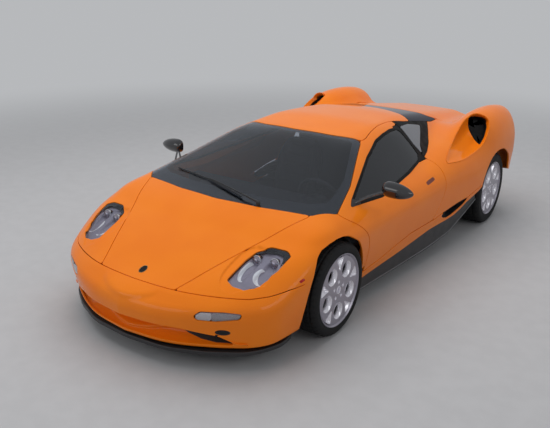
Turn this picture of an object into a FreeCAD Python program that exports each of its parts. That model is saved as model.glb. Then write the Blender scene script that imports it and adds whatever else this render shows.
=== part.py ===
"""Low mid-engined supercar: body shell, doors, lids, steering, wheels and running gear.

Frame in millimetres: origin on the ground under the middle of the car, the nose towards -Y,
the car's left side towards +X, +Z up.

The painted shell is one closed form, body_form(x, y, z). It is positive inside the car and falls
by about one for each millimetre towards the surface. A skin is that form's surface at some depth,
met by rays from the car's spine, and every panel is the wall between two skins, cut to its outline.
"""
import FreeCAD
import Part
import math
import os
import Sketcher

V = FreeCAD.Vector
X_AXIS = V(1, 0, 0)
Y_AXIS = V(0, 1, 0)
Z_AXIS = V(0, 0, 1)

doc = FreeCAD.newDocument("supercar")

# ---------------------------------------------------------------- driving dimensions
sheet = doc.addObject("Spreadsheet::Sheet", "sizes")
# columns: alias, value in mm (or degrees), what it is
SIZES = (
    ("half_length", 2235, "half of the overall length"),
    ("wheelbase", 2650, "front axle to rear axle"),
    ("front_axle_y", -1205, "front axle's place along the car"),
    ("front_tyre_radius", 311, "front tyre, outside radius"),
    ("rear_tyre_radius", 329, "rear tyre, outside radius"),
    ("front_tyre_width", 235, "front tyre, section width"),
    ("rear_tyre_width", 335, "rear tyre, section width"),
    ("front_outer_face", 930, "front wheel's outer face from the middle plane"),
    ("rear_outer_face", 985, "rear wheel's outer face from the middle plane"),
    ("rim_radius", 243, "rim flange, outside radius"),
    ("rim_seat_radius", 229, "bead seat radius"),
    ("barrel_wall", 9, "rim barrel's wall"),
    ("hub_radius", 62, "wheel's centre boss"),
    ("cup_radius", 52, "round dished opening in the wheel"),
    ("cup_circle", 142, "radius of the circle through the openings"),
    ("lug_circle", 50, "radius of the circle through the wheel bolts"),
    ("lug_radius", 9, "wheel bolt head"),
    ("front_arch_radius", 368, "front wheel arch"),
    ("rear_arch_radius", 372, "rear wheel arch"),
    ("arch_inner_x", 500, "how far in the wheel housings reach"),
    ("skin_wall", 35, "wall of fixed body panels"),
    ("door_wall", 90, "whole door, below the belt"),
    ("frame_wall", 30, "door frame beside its window"),
    ("lid_wall", 18, "bonnet and engine lid"),
    ("glass_wall", 8, "windscreen and side windows"),
    ("panel_gap", 7, "gap between panels that move"),
    ("seam_gap", 3, "gap between fixed panels"),
    ("floor_height", 120, "underside of the floor"),
    ("floor_thick", 25, "floor pan"),
    ("king_pin_x", 800, "steering axis from the middle plane"),
    ("disc_radius", 165, "brake disc"),
    ("engine_length", 1050, "engine and gearbox block"),
    ("engine_width", 620, "engine block across"),
    ("engine_height", 480, "engine block's height"),
    ("steering_radius", 180, "steering wheel rim"),
    ("exhaust_radius", 42, "tail pipe"),
    ("lamp_depth", 95, "headlamp housing"),
    ("tow_eye_radius", 9, "towing eye socket"),
)
for row, (alias, value, meaning) in enumerate(SIZES, start=1):
    sheet.set("A%d" % row, meaning)
    sheet.set("B%d" % row, str(value))
    sheet.setAlias("B%d" % row, alias)
doc.recompute()


def size(alias):
    """A driving dimension, read from the sheet."""
    return float(sheet.get(alias))


GAP = size("panel_gap")
SEAM = size("seam_gap")
FRONT_Y = size("front_axle_y")
REAR_Y = FRONT_Y + size("wheelbase")
FAR = 3000.0

# ---------------------------------------------------------------- the shell's form
# Each profile's columns: place along the car (y), value. Straights joined by soft bends.
TOP_LINE = ((-2300, 420), (-2030, 487), (-1870, 560), (-1300, 768), (-400, 1065),
            (50, 1112), (600, 1085), (1100, 1012), (2300, 840))
TOP_CROWN = ((-2200, 0.02), (-1300, 0.05), (-400, 0.13), (600, 0.12), (1200, 0.05), (2200, 0.05))
LOW_LINE = ((-2300, 420), (-2030, 487), (-1870, 560), (-1300, 768), (-950, 775),
            (200, 800), (750, 880), (1200, 930), (2300, 820))
HALF_WIDTH = ((-2300, 800), (-1900, 885), (-1500, 945), (-1100, 950), (-500, 945), (300, 965),
              (1000, 1018), (1500, 1030), (1950, 1000), (2300, 930))
# how fast the flank leans in below the shoulder, as a slope: most behind the front wheels
UNDERCUT = ((-2300, 0.06), (-1500, 0.12), (-850, 0.24), (-300, 0.15), (500, 0.07), (1100, 0.0), (2300, 0.0))
BELT_WIDTH = ((-1400, 800), (-1000, 800), (-300, 800), (300, 785), (800, 700), (1400, 580))
UNDERSIDE = ((-2300, 150), (-1000, 160), (500, 200), (2300, 240))
# columns: distance from the middle plane, the end's place along the car
NOSE_PLAN = ((-100, -2252), (300, -2212), (550, -2096), (780, -1940), (1000, -1750))
TAIL_PLAN = ((-100, 2235), (500, 2205), (800, 2090), (1050, 1890))
CROWN_SCALE = 1000.0


def ramp(t, soft):
    """0 below zero and t above it, with a soft bend between -soft and +soft."""
    if t <= -soft:
        return 0.0
    if t >= soft:
        return t
    s = t / soft
    if s < 0:
        return soft * (1 + s) ** 3 / 6
    return soft * (s + (1 - s) ** 3 / 6)


def profile(t, table, soft):
    """Straight runs through the table's points, with each bend softened."""
    slopes = [(q[1] - p[1]) / (q[0] - p[0]) for p, q in zip(table, table[1:])]
    value = table[0][1] + slopes[0] * (t - table[0][0])
    for knot, before, after in zip(table[1:], slopes, slopes[1:]):
        value += (after - before) * ramp(t - knot[0], soft)
    return value


def blend_min(a, b, soft):
    """The smaller of two fields, rounded where they meet."""
    share = min(1.0, max(0.0, 0.5 + 0.5 * (b - a) / soft))
    return b * (1 - share) + a * share - soft * share * (1 - share)


def blend_max(a, b, soft):
    """The larger of two fields, rounded where they meet."""
    return -blend_min(-a, -b, soft)


def haunch(a, y, z):
    """The rounded hump over each rear wheel: a long ellipsoid with a straight middle."""
    across = (a - 790) / 240
    upward = (z - 710) / 315
    ahead = ramp(1580 - y, 50) / 680
    behind = ramp(y - 1640, 50) / 780
    return 220 * (1 - math.sqrt(across ** 2 + upward ** 2 + ahead ** 2 + behind ** 2))


def body_form(x, y, z):
    """The painted shell as a field: positive inside, 0 on the surface, about 1 for each mm."""
    a = abs(x)
    roof = profile(y, TOP_LINE, 160) - profile(y, TOP_CROWN, 200) * a * a / CROWN_SCALE - z
    windows = (profile(y, BELT_WIDTH, 300) - (z - 780) - a) * 0.72
    cabin = blend_min(blend_min(roof, windows, 70), z - 600, 50)
    shoulder = profile(y, LOW_LINE, 160) - 0.05 * a * a / CROWN_SCALE - z
    flank = profile(y, HALF_WIDTH, 300) - a
    flank -= 1.4 * ramp(z - 550, 100) ** 2 / 1000 + 0.25 * ramp(500 - z, 100) ** 2 / 1000
    flank -= profile(y, UNDERCUT, 200) * ramp(600 - z, 80)
    body = blend_max(cabin, blend_min(shoulder, flank, 160), 30)
    body = blend_max(body, haunch(a, y, z), 60)
    nose = y - profile(a, NOSE_PLAN, 200) - 1.2 * ramp(z - 420, 50) - 0.25 * ramp(360 - z, 50)
    tail = profile(a, TAIL_PLAN, 200) - y - 0.3 * ramp(450 - z, 100)
    body = blend_min(blend_min(body, nose, 100), tail, 80)
    return blend_min(body, z - profile(y, UNDERSIDE, 200), 30)


# ---------------------------------------------------------------- skins
SPINE_Z = 400.0
# The skin is met by rays from the spine: square to it along the middle of the car, and fanned
# out forwards and backwards from one point at each end.
NOSE_CENTRE = -1600
TAIL_CENTRE = 1750
MIDDLE = (-1600, -1450, -1300, -1150, -1000, -800, -600, -400, -200, 0, 180, 360, 540, 720, 900, 1080, 1260,
          1440, 1600, 1750)
TILTS = (12, 23, 34, 45, 55, 65, 74, 82)
STATIONS = ([(NOSE_CENTRE, -tilt) for tilt in reversed(TILTS)] + [(y, 0) for y in MIDDLE]
            + [(TAIL_CENTRE, tilt) for tilt in TILTS])
# angles from straight up, in degrees, closer together at the belt and the shoulder
ANGLES = (0, 12, 24, 34, 43, 50, 56, 62, 68, 75, 83, 92, 102, 112, 122, 134, 150, 180)


def reach(start, direction, depth):
    """How far from a point inside the surface at this depth lies, along one direction."""
    near = 0.0
    far = 2600.0
    for _ in range(24):
        middle = (near + far) / 2
        p = start + direction * middle
        if body_form(p.x, p.y, p.z) > depth:
            near = middle
        else:
            far = middle
    return near


def ring(y, tilt, depth):
    """The skin's closed section cast from one point of the spine, left side first."""
    spine = V(0, y, SPINE_Z)
    along = math.sin(math.radians(tilt))
    across = math.cos(math.radians(tilt))
    left = []
    for angle in ANGLES:
        turn = math.radians(angle)
        direction = V(math.sin(turn) * across, along, math.cos(turn) * across)
        left.append(spine + direction * reach(spine, direction, depth))
    right = [V(-p.x, p.y, p.z) for p in reversed(left[1:-1])]
    return left + right


def facet(a, b, c):
    """One flat triangular face."""
    return Part.Face(Part.makePolygon([a, b, c, a]))


def skin(depth):
    """The closed solid inside the surface at this depth: rings joined by flat triangles."""
    rings = [ring(y, tilt, depth) for y, tilt in STATIONS]
    count = len(rings[0])
    faces = []
    for a, b in zip(rings, rings[1:]):
        for i in range(count):
            j = (i + 1) % count
            if i < len(ANGLES) - 1:
                faces.append(facet(a[i], a[j], b[j]))
                faces.append(facet(a[i], b[j], b[i]))
            else:
                faces.append(facet(a[i], a[j], b[i]))
                faces.append(facet(a[j], b[j], b[i]))
    for end, centre, direction in ((rings[0], NOSE_CENTRE, -Y_AXIS), (rings[-1], TAIL_CENTRE, Y_AXIS)):
        spine = V(0, centre, SPINE_Z)
        pole = spine + direction * reach(spine, direction, depth)
        for i in range(count):
            faces.append(facet(end[i], end[(i + 1) % count], pole))
    solid = Part.Solid(Part.Shell(faces))
    if solid.Volume < 0:
        solid.reverse()
    return solid


OUTER = skin(0)
WALLS = ("glass_wall", "lid_wall", "frame_wall", "skin_wall", "door_wall")
INNER = {name: skin(size(name)) for name in WALLS}
WALL = {name: OUTER.cut(solid) for name, solid in INNER.items()}


# ---------------------------------------------------------------- outlines
def drawn_in(points, inset):
    """The outline with every edge moved inwards by inset, its corners kept sharp."""
    count = len(points)
    twice_area = sum(points[i - 1][0] * points[i][1] - points[i][0] * points[i - 1][1] for i in range(count))
    turn = 1.0 if twice_area > 0 else -1.0
    corners = []
    for i in range(count):
        (ax, ay), (bx, by), (cx, cy) = points[i - 1], points[i], points[(i + 1) % count]
        first = math.hypot(bx - ax, by - ay)
        second = math.hypot(cx - bx, cy - by)
        n1 = (-(by - ay) / first * turn, (bx - ax) / first * turn)
        n2 = (-(cy - by) / second * turn, (cx - bx) / second * turn)
        share = inset / max(0.25, 1 + n1[0] * n2[0] + n1[1] * n2[1])
        corners.append((bx + (n1[0] + n2[0]) * share, by + (n1[1] + n2[1]) * share))
    return corners


def area(points, plane):
    """A flat face from a list of points in plan (x, y) or in side view (y, z)."""
    if plane == "plan":
        corners = [V(p[0], p[1], 0) for p in points]
    else:
        corners = [V(0, p[0], p[1]) for p in points]
    return Part.Face(Part.makePolygon(corners + corners[:1]))


def plan(points, low=0.0, high=1500.0, inset=0.0):
    """An upright prism over an outline in plan, drawn in by inset."""
    face = area(drawn_in(points, inset), "plan")
    face.translate(V(0, 0, low))
    return face.extrude(V(0, 0, high - low))


def side(points, near=150.0, far=1300.0, inset=0.0):
    """A prism across the car's left side over an outline in side view, drawn in by inset."""
    face = area(drawn_in(points, inset), "side")
    face.translate(V(near, 0, 0))
    return face.extrude(V(far - near, 0, 0))


def both(points):
    """A plan outline that starts and ends on the middle plane, closed by its mirror image."""
    return tuple(points) + tuple((-x, y) for x, y in reversed(points) if x > 0)


def mirrored(shape):
    """The same thing on the right-hand side."""
    return shape.mirror(V(0, 0, 0), X_AXIS)


def box(x, y, z):
    """A plain block between two values on each axis."""
    block = Part.makeBox(x[1] - x[0], y[1] - y[0], z[1] - z[0])
    block.translate(V(x[0], y[0], z[0]))
    return block


# Plan outlines, columns x, y
BONNET_FRONT = ((0, -2058), (160, -2062), (322, -2036))
BONNET_SIDE = ((432, -1800), (532, -1580), (615, -1414), (699, -1211))
SCREEN_BASE = ((699, -1211), (342, -1280), (0, -1306))
SCREEN_CORNER = (808, -1080)
SCREEN_TOP = ((513, -251), (300, -318), (0, -346))
PILLAR = ((720, -757), (513, -251))
ROOF_EDGE = ((511, -184), (478, -41), (448, 132), (437, 293), (445, 416), (470, 560))
ROOF_REAR = ((475, 640), (440, 730), (350, 830), (200, 910), (0, 950))
DECK_FRONT = ((0, 1300), (230, 1290), (420, 1225), (500, 1100))
DECK_SIDE = ((560, 1300), (590, 1700), (560, 2080), (520, 2140))
LAMP = ((544, -1872), (552, -1700), (572, -1615), (640, -1556), (745, -1543), (787, -1572),
        (776, -1690), (722, -1840), (680, -1872), (600, -1890))
# Side outlines, columns y, z
DOOR_FRONT = ((-1080, 1200), (-1080, 763), (-1030, 722), (-960, 680), (-905, 627), (-848, 546),
              (-812, 453), (-770, 305))
DOOR_REAR = ((-145, 352), (215, 345), (350, 560), (400, 760), (404, 830), (378, 1035), (378, 1200))
WINDOW = ((-935, 768), (-708, 842), (-363, 955), (-99, 1018), (60, 1034), (200, 1040), (300, 1034),
          (338, 1010), (358, 900), (348, 838), (300, 806), (23, 776), (-191, 762), (-507, 738))
QUARTER_PILLAR = ((378, 1150), (404, 830), (470, 820), (640, 870), (760, 960), (780, 1150))


def arch(axle_y, height, radius):
    """A wheel housing's cut: a cylinder across the left side, open downwards."""
    hole = Part.makeCylinder(radius, 800, V(size("arch_inner_x"), axle_y, height), X_AXIS)
    below = box((size("arch_inner_x"), 1300), (axle_y - radius, axle_y + radius), (-50, height))
    return hole.fuse(below)


ARCHES = arch(FRONT_Y, size("front_tyre_radius"), size("front_arch_radius")).fuse(
    arch(REAR_Y, size("rear_tyre_radius"), size("rear_arch_radius")))
ARCHES = ARCHES.fuse(mirrored(ARCHES))

# ---------------------------------------------------------------- making nodes
nodes = []


def keep(label, shape):
    """Adds a sub-part whose shape is made by surface work, as a feature of the document."""
    feature = doc.addObject("Part::Feature", label)
    feature.Label = label
    feature.Shape = shape
    feature.Placement = shape.Placement
    nodes.append(feature)
    return feature


def solid_of(shape, least=2000.0):
    """The solids of a boolean's result, without slivers, as one shape."""
    solids = [s for s in shape.Solids if s.Volume > least]
    if len(solids) == 1:
        return solids[0]
    return Part.makeCompound(solids)


# Panels of the lower nose, the wings and the middle share these plan regions
bonnet_plan = both(BONNET_FRONT + BONNET_SIDE + SCREEN_BASE[1:])
screen_plan = both(tuple(reversed(SCREEN_BASE)) + (SCREEN_CORNER,) + PILLAR + SCREEN_TOP[1:])
roof_plan = both(tuple(reversed(SCREEN_TOP)) + ROOF_EDGE + ROOF_REAR)
deck_plan = both(DECK_FRONT + DECK_SIDE + ((0, 2150),))
band_plan = both(tuple(reversed(ROOF_REAR)) + ((640, 650), (600, 1000), (500, 1100))
                 + tuple(reversed(DECK_FRONT[:-1])))


def make_bonnet():
    """The luggage lid, from the nose seam to the windscreen."""
    shape = WALL["lid_wall"].common(plan(bonnet_plan, 380, inset=GAP / 2))
    keep("bonnet", solid_of(shape))


def make_windscreen():
    """The bowed windscreen between the pillars."""
    shape = WALL["glass_wall"].common(plan(screen_plan, 600, inset=SEAM / 2))
    keep("windscreen", solid_of(shape))


def make_roof():
    """The roof panel, out to the door frames."""
    shape = WALL["skin_wall"].common(plan(roof_plan, 850, inset=SEAM / 2))
    keep("roof", solid_of(shape))


def make_rear_band():
    """The dark panel across the back of the cabin."""
    shape = WALL["glass_wall"].common(plan(band_plan, 780, inset=SEAM / 2))
    keep("rear_band", solid_of(shape))


def make_engine_lid():
    """The deck over the engine, hinged at its front edge."""
    shape = WALL["lid_wall"].common(plan(deck_plan, 700, inset=GAP / 2))
    keep("engine_lid", solid_of(shape))


def door_region(inset):
    """Everything that belongs to the left door, as a prism in side view and in plan."""
    outline = DOOR_FRONT + DOOR_REAR
    sideways = side(outline, inset=inset)
    inner_edge = ((SCREEN_CORNER,) + PILLAR + ROOF_EDGE[:-1] + ((455, 480),))
    across = plan(inner_edge + ((1400, 480), (1400, -1080)), 200, inset=inset)
    return sideways.common(across)


def make_doors():
    """Both doors: a thick lower body and a thin frame around the window, with the glass."""
    region = door_region(GAP / 2)
    belt = box((0, 1400), (-1300, 600), (0, 770))
    lower = WALL["door_wall"].common(region).common(belt)
    upper = WALL["frame_wall"].common(region)
    window = side(WINDOW)
    door = solid_of(lower.fuse(upper).cut(window))
    glass = solid_of(WALL["glass_wall"].common(side(WINDOW, inset=1.0)))
    keep("door_left", door)
    keep("door_glass_left", glass)
    keep("door_right", mirrored(door))
    keep("door_glass_right", mirrored(glass))


# the seam between the nose cone and the wings, down to the front of the wheel arch; columns y, z
NOSE_SEAM = ((-2400, 478), (-1900, 470), (-1820, 479), (-1712, 498), (-1593, 505), (-1560, 300))
TAIL_SEAM_Y = 2060
# the tail pipes' places across the car and their height
PIPES = (-70, 70)
PIPE_HEIGHT = 345
# the mouth in front view, columns x, z
MOUTH = ((-690, 182), (-600, 252), (-400, 287), (400, 287), (600, 252), (690, 182))
# the left indicator in front view, columns x, z
INDICATOR = ((489, 377), (521, 407), (640, 410), (728, 400), (722, 368), (605, 352), (510, 356))
INDICATOR_DEPTH = 30
# the shoulder scoop's sections, columns y, middle x, middle z, half-width, half-height
SCOOP = ((640, 890, 775, 30, 45),
         (970, 850, 830, 105, 120),
         (1170, 832, 862, 120, 138),
         (1400, 800, 858, 88, 128),
         (1750, 780, 850, 80, 110))
DUCT_WALL = 12
# the intake low on the flank ahead of the rear wheel, columns y, z
SIDE_INTAKE = ((430, 392), (560, 470), (960, 540), (1000, 500), (700, 415))
TOW_EYE = V(628, -1990, 275)
TOW_BOSS_RADIUS = 19
TOW_BOSS_LENGTH = 55


def front_end():
    """The nose below its seam and ahead of the front wheels, on both sides."""
    outline = NOSE_SEAM + ((-1560, 0), (-2400, 0))
    return side(outline, near=-1300, far=1300, inset=SEAM / 2)


def make_front_bumper():
    """The nose cone: a wide mouth over a thin lip, two lamp recesses and the towing eye's socket."""
    shape = WALL["skin_wall"].common(front_end()).cut(ARCHES)
    shape = shape.cut(plan(bonnet_plan, 380, inset=-GAP / 2))
    lamps = plan(LAMP, 300, inset=-SEAM / 2)
    shape = shape.cut(lamps).cut(mirrored(lamps))
    shape = shape.cut(box((-430, 430), (-1900, -1300), (0, 560)))
    mouth = Part.Face(Part.makePolygon([V(x, -2400, z) for x, z in MOUTH + MOUTH[:1]]))
    shape = shape.cut(mouth.extrude(V(0, 2400 - 1930, 0)))
    pocket = OUTER.cut(skin(INDICATOR_DEPTH)).common(indicator_prism())
    shape = shape.cut(pocket).cut(mirrored(pocket))
    boss = Part.makeCylinder(TOW_BOSS_RADIUS, TOW_BOSS_LENGTH, TOW_EYE, Y_AXIS)
    socket = Part.makeCylinder(size("tow_eye_radius"), 400, TOW_EYE - V(0, 200, 0), Y_AXIS)
    recess = Part.makeCylinder(TOW_BOSS_RADIUS, 200, TOW_EYE - V(0, 200, 0), Y_AXIS)
    back = box((-620, 620), (-1945, -1935), (160, 330)).common(INNER["skin_wall"])
    shape = shape.cut(recess).fuse(boss).fuse(back).cut(socket)
    keep("front_bumper", solid_of(shape, 20000))


def indicator_prism():
    """The left indicator's outline in front view, run back through the nose."""
    face = Part.Face(Part.makePolygon([V(x, -2400, z) for x, z in INDICATOR + INDICATOR[:1]]))
    return face.extrude(V(0, 700, 0))


def make_splitter():
    """The flat black lip under the nose."""
    outline = both(((0, -2190), (300, -2165), (540, -2060), (760, -1915),
                    (840, -1720), (820, -1590), (0, -1590)))
    keep("front_splitter", solid_of(plan(outline, 112, 140)))


def make_fenders():
    """Both front wings: over the wheel, around the headlamp and back to the door."""
    above = side(NOSE_SEAM + ((-760, 310), (-760, 1200), (-2400, 1200)), near=0, inset=SEAM / 2)
    shape = WALL["skin_wall"].common(above).cut(ARCHES)
    shape = shape.cut(box((0, 600), (-2400, -700), (0, 400)))
    shape = shape.cut(plan(bonnet_plan, 300, inset=-GAP / 2))
    shape = shape.cut(plan(screen_plan, 300, inset=-SEAM / 2))
    shape = shape.cut(door_region(-GAP / 2))
    shape = shape.cut(plan(LAMP, 300, inset=-SEAM / 2))
    fender = solid_of(shape, 20000)
    keep("fenders", Part.makeCompound(fender.Solids + mirrored(fender).Solids))


def make_sills():
    """The painted sills below the doors, back to the rear wheels."""
    region = side(((-835, 240), (-835, 300), (-770, 303), (-145, 349), (215, 342), (350, 380), (1060, 430),
                  (1060, 360), (700, 300), (150, 288)), near=760, inset=SEAM / 2)
    shape = solid_of(WALL["door_wall"].common(region).cut(ARCHES), 20000)
    keep("sills", Part.makeCompound(shape.Solids + mirrored(shape).Solids))


def make_skirts():
    """The black side skirts below the sills."""
    outline = ((-830, 115), (-830, 238), (150, 286), (700, 298), (1010, 350), (1000, 330), (460, 115))
    across = plan(((795, -830), (850, -830), (905, -200), (945, 500), (990, 1010), (795, 1010)), 0)
    shape = solid_of(side(outline, near=700, far=1100).common(across).cut(ARCHES))
    keep("side_skirts", Part.makeCompound(shape.Solids + mirrored(shape).Solids))


def shoulder_scoop(wall):
    """The air scoop on the left shoulder: a hollow that deepens back into a round duct, wall larger."""
    sections = []
    for y, x, z, half_width, half_height in SCOOP:
        corners = []
        for step in range(16):
            turn = math.radians(22.5 * step)
            across = (half_width + wall) * math.cos(turn)
            corners.append(V(x + across, y, z + (half_height + wall) * math.sin(turn)))
        sections.append(Part.makePolygon(corners + corners[:1]))
    duct = Part.makeLoft(sections, True, True)
    if wall:
        end = Part.Face(sections[-1]).extrude(V(0, wall, 0))
        duct = duct.fuse(end)
    return duct


def make_rear_quarters():
    """Both rear flanks with the humps, from the door to the tail."""
    region = side(((200, 345), (350, 384), (1060, 434), (1100, 250), (TAIL_SEAM_Y, 250), (TAIL_SEAM_Y, 1300),
                  (200, 1300)), near=0, inset=SEAM / 2)
    shape = WALL["skin_wall"].common(region).cut(ARCHES)
    shape = shape.cut(box((0, 700), (0, 3000), (0, 330)))
    shape = shape.cut(door_region(-GAP / 2))
    shape = shape.cut(plan(deck_plan, 500, inset=-GAP / 2))
    shape = shape.cut(plan(band_plan, 500, inset=-SEAM / 2))
    shape = shape.cut(plan(roof_plan, 500, inset=-SEAM / 2))
    shape = shape.cut(side(QUARTER_PILLAR, near=0, inset=-SEAM / 2))
    duct = shoulder_scoop(DUCT_WALL).common(OUTER)
    shape = shape.fuse(duct).cut(shoulder_scoop(0)).cut(side(SIDE_INTAKE, near=880))
    quarter = solid_of(shape, 50000)
    keep("rear_quarters", Part.makeCompound(quarter.Solids + mirrored(quarter).Solids))


def make_quarter_windows():
    """The dark pillar behind each door, with its small window's opening filled flush."""
    region = side(QUARTER_PILLAR, near=0, inset=SEAM / 2)
    shape = WALL["glass_wall"].common(region).cut(plan(band_plan, 500, inset=-SEAM / 2))
    shape = shape.cut(plan(roof_plan, 500, inset=-SEAM / 2)).cut(door_region(-GAP / 2))
    pillar = solid_of(shape, 5000)
    keep("quarter_windows", Part.makeCompound(pillar.Solids + mirrored(pillar).Solids))


def make_rear_bumper():
    """The tail, with a wide grille opening and lamp holes above the lower valance."""
    region = side(((TAIL_SEAM_Y, 250), (2400, 250), (2400, 1300), (TAIL_SEAM_Y, 1300)),
                  near=-1300, far=1300, inset=SEAM / 2)
    shape = WALL["skin_wall"].common(region).cut(ARCHES)
    shape = shape.cut(plan(deck_plan, 700, inset=-GAP / 2))
    shape = shape.cut(box((-640, 640), (2100, 2400), (560, 740)))
    for x in PIPES:
        hole = Part.makeCylinder(size("exhaust_radius") + GAP, 500, V(x, 1930, PIPE_HEIGHT), Y_AXIS)
        shape = shape.cut(hole)
    keep("rear_bumper", solid_of(shape, 50000))


def make_rear_grille():
    """The mesh panel between the tail lamps, as bars in a frame."""
    bars = [box((-385, 385), (2165, 2172), (566 + 16 * i, 572 + 16 * i)) for i in range(11)]
    posts = [box((x - 6, x + 6), (2172, 2180), (562, 738)) for x in (-380, -190, 0, 190, 380)]
    shape = bars[0]
    for part in bars[1:] + posts:
        shape = shape.fuse(part)
    keep("rear_grille", solid_of(shape, 10))


def make_lamps():
    """Headlamp housings, front indicators and round tail lamps."""
    deep = skin(size("lamp_depth"))
    housing = solid_of(OUTER.cut(deep).common(plan(LAMP, 380, inset=SEAM / 2)).cut(ARCHES), 20000)
    keep("headlamps", Part.makeCompound([housing, mirrored(housing)]))
    indicator = solid_of(OUTER.cut(skin(INDICATOR_DEPTH - SEAM)).common(indicator_prism()))
    keep("indicators", Part.makeCompound([indicator, mirrored(indicator)]))
    lamps = []
    for x in (455, 580, -455, -580):
        lamps.append(Part.makeCylinder(56, 50, V(x, 2120, 650), Y_AXIS))
    keep("tail_lamps", Part.makeCompound(lamps))


def make_liners():
    """Half-round housings inside the four wheel arches."""
    parts = []
    for axle_y, height, radius, inner in ((FRONT_Y, 311, 366, 505), (REAR_Y, 329, 370, 560)):
        outer = Part.makeCylinder(radius, 300, V(inner, axle_y, height), X_AXIS)
        cavity = Part.makeCylinder(radius - 8, 300, V(inner + 8, axle_y, height), X_AXIS)
        lower = box((0, 1300), (axle_y - 500, axle_y + 500), (-300, height - 60))
        arms = box((inner - 20, inner + 20), (axle_y - 75, axle_y + 75), (height - 140, height + 140))
        parts.append(outer.cut(cavity).cut(lower).cut(arms))
    shapes = [solid_of(p) for p in parts]
    keep("arch_liners", Part.makeCompound(shapes + [mirrored(s) for s in shapes]))


def make_floor():
    """The flat floor pan, narrow between the wheels."""
    low = size("floor_height")
    outline = both(((0, -1585), (480, -1585), (480, -825), (790, -825), (790, 1000), (540, 1060),
                    (540, 1880), (0, 1880)))
    keep("floor_pan", plan(outline, low, low + size("floor_thick")))


def make_front_bay():
    """The luggage tub under the bonnet."""
    outer = box((-400, 400), (-1780, -1330), (146, 560))
    inner = box((-388, 388), (-1768, -1342), (158, 600))
    keep("front_bay", outer.cut(inner))


def make_bulkheads():
    """Walls ahead of and behind the cabin."""
    front = box((-480, 480), (-1100, -1080), (146, 690))
    rear = box((-560, 560), (560, 585), (146, 900))
    keep("bulkheads", Part.makeCompound([front, rear]))


def make_diffuser():
    """The black undertray below the tail, with upright fins."""
    tray = plan(both(((0, 1890), (620, 1890), (760, 2120), (0, 2190))), 222, 240)
    for x in (-450, -225, 0, 225, 450):
        tray = tray.fuse(box((x - 5, x + 5), (1900, 2110), (150, 230)))
    keep("diffuser", solid_of(tray))


def make_exhausts():
    """Two tail pipes either side of the middle plane."""
    radius = size("exhaust_radius")
    pipes = []
    for x in PIPES:
        pipe = Part.makeCylinder(radius, 290, V(x, 1930, PIPE_HEIGHT), Y_AXIS)
        pipe = pipe.cut(Part.makeCylinder(radius - 4, 280, V(x, 1955, PIPE_HEIGHT), Y_AXIS))
        pipes.append(pipe)
    keep("exhausts", Part.makeCompound(pipes))


# ---------------------------------------------------------------- parametric pieces
WHEEL_CENTRE = V(390, -590, 640)
COLUMN_RAKE = 22
COLUMN_RADIUS = 22
COLUMN_LENGTH = 160


def part_box(label, sizes, place):
    """A block primitive whose length, width and height are bound to the sheet."""
    block = doc.addObject("Part::Box", label)
    block.Label = label
    for prop, rule in zip(("Length", "Width", "Height"), sizes):
        block.setExpression(prop, rule)
    block.Placement = FreeCAD.Placement(V(*place), FreeCAD.Rotation())
    return block


def make_engine():
    """The engine and gearbox as one plain block behind the cabin."""
    block = part_box("engine", ("sizes.engine_width", "sizes.engine_length", "sizes.engine_height"),
                     (-size("engine_width") / 2, 700, 200))
    nodes.append(block)


def on_column(shape):
    """A shape drawn about Z at the steering wheel's centre, set on the raked column."""
    shape.rotate(V(0, 0, 0), X_AXIS, 90 + COLUMN_RAKE)
    shape.translate(WHEEL_CENTRE)
    return shape


def steering_column(radius):
    """The column behind the steering wheel, as a cylinder of this radius."""
    return on_column(Part.makeCylinder(radius, COLUMN_LENGTH, V(0, 0, 20)))


def make_dashboard():
    """The padded dash and the middle console."""
    dash = plan(both(((0, -1060), (490, -1060), (490, -830), (690, -815), (690, -700), (0, -700))), 520, 700)
    console = box((-110, 110), (-705, 300), (146, 420))
    dash = dash.fuse(console).fuse(box((-110, 110), (-760, -700), (146, 600)))
    keep("dashboard", solid_of(dash.cut(steering_column(COLUMN_RADIUS + 1.0))))


def make_seats():
    """Two bucket seats: cushions and raked backs."""
    cushions = []
    backs = []
    for sign in (1, -1):
        cushion = box((150, 630), (-430, 90), (150, 320))
        back = side(((100, 160), (190, 160), (420, 800), (350, 830), (300, 800)), near=150, far=630)
        if sign < 0:
            cushion = mirrored(cushion)
            back = mirrored(back)
        cushions.append(cushion)
        backs.append(back)
    keep("seat_bases", Part.makeCompound(cushions))
    keep("seat_backs", Part.makeCompound(backs))


def make_steering_wheel():
    """The driver's wheel, three spokes and its column."""
    radius = size("steering_radius")
    shape = Part.makeTorus(radius, 15).fuse(Part.makeCylinder(40, 40, V(0, 0, -20)))
    for angle in (0, 180, 270):
        spoke = Part.makeBox(radius, 26, 10, V(0, -13, -5))
        spoke.rotate(V(0, 0, 0), Z_AXIS, angle)
        shape = shape.fuse(spoke)
    keep("steering_wheel", solid_of(on_column(shape).fuse(steering_column(COLUMN_RADIUS))))


def make_mirrors():
    """Oval mirror heads on twin arms."""
    head = Part.makeSphere(1)
    stretch = FreeCAD.Matrix()
    stretch.scale(118, 62, 62)
    head = head.transformGeometry(stretch)
    head.translate(V(1010, -640, 850))
    behind = box((850, 1200), (-612, -500), (700, 1000))
    shape = head.cut(behind)
    for start, end in ((V(780, -860, 770), V(930, -650, 838)), (V(790, -740, 782), V(945, -640, 842))):
        run = end - start
        shape = shape.fuse(Part.makeCylinder(9, run.Length, start, run))
    mirror = solid_of(shape.cut(OUTER))
    keep("mirror_left", mirror)
    keep("mirror_right", mirrored(mirror))


# how far the rim stays clear of the tyre's bead
BEAD_GAP = 0.6


def plane_of(body, role):
    """One of a body's own origin planes."""
    return [f for f in body.Origin.OriginFeatures if f.Role == role][0]


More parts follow.
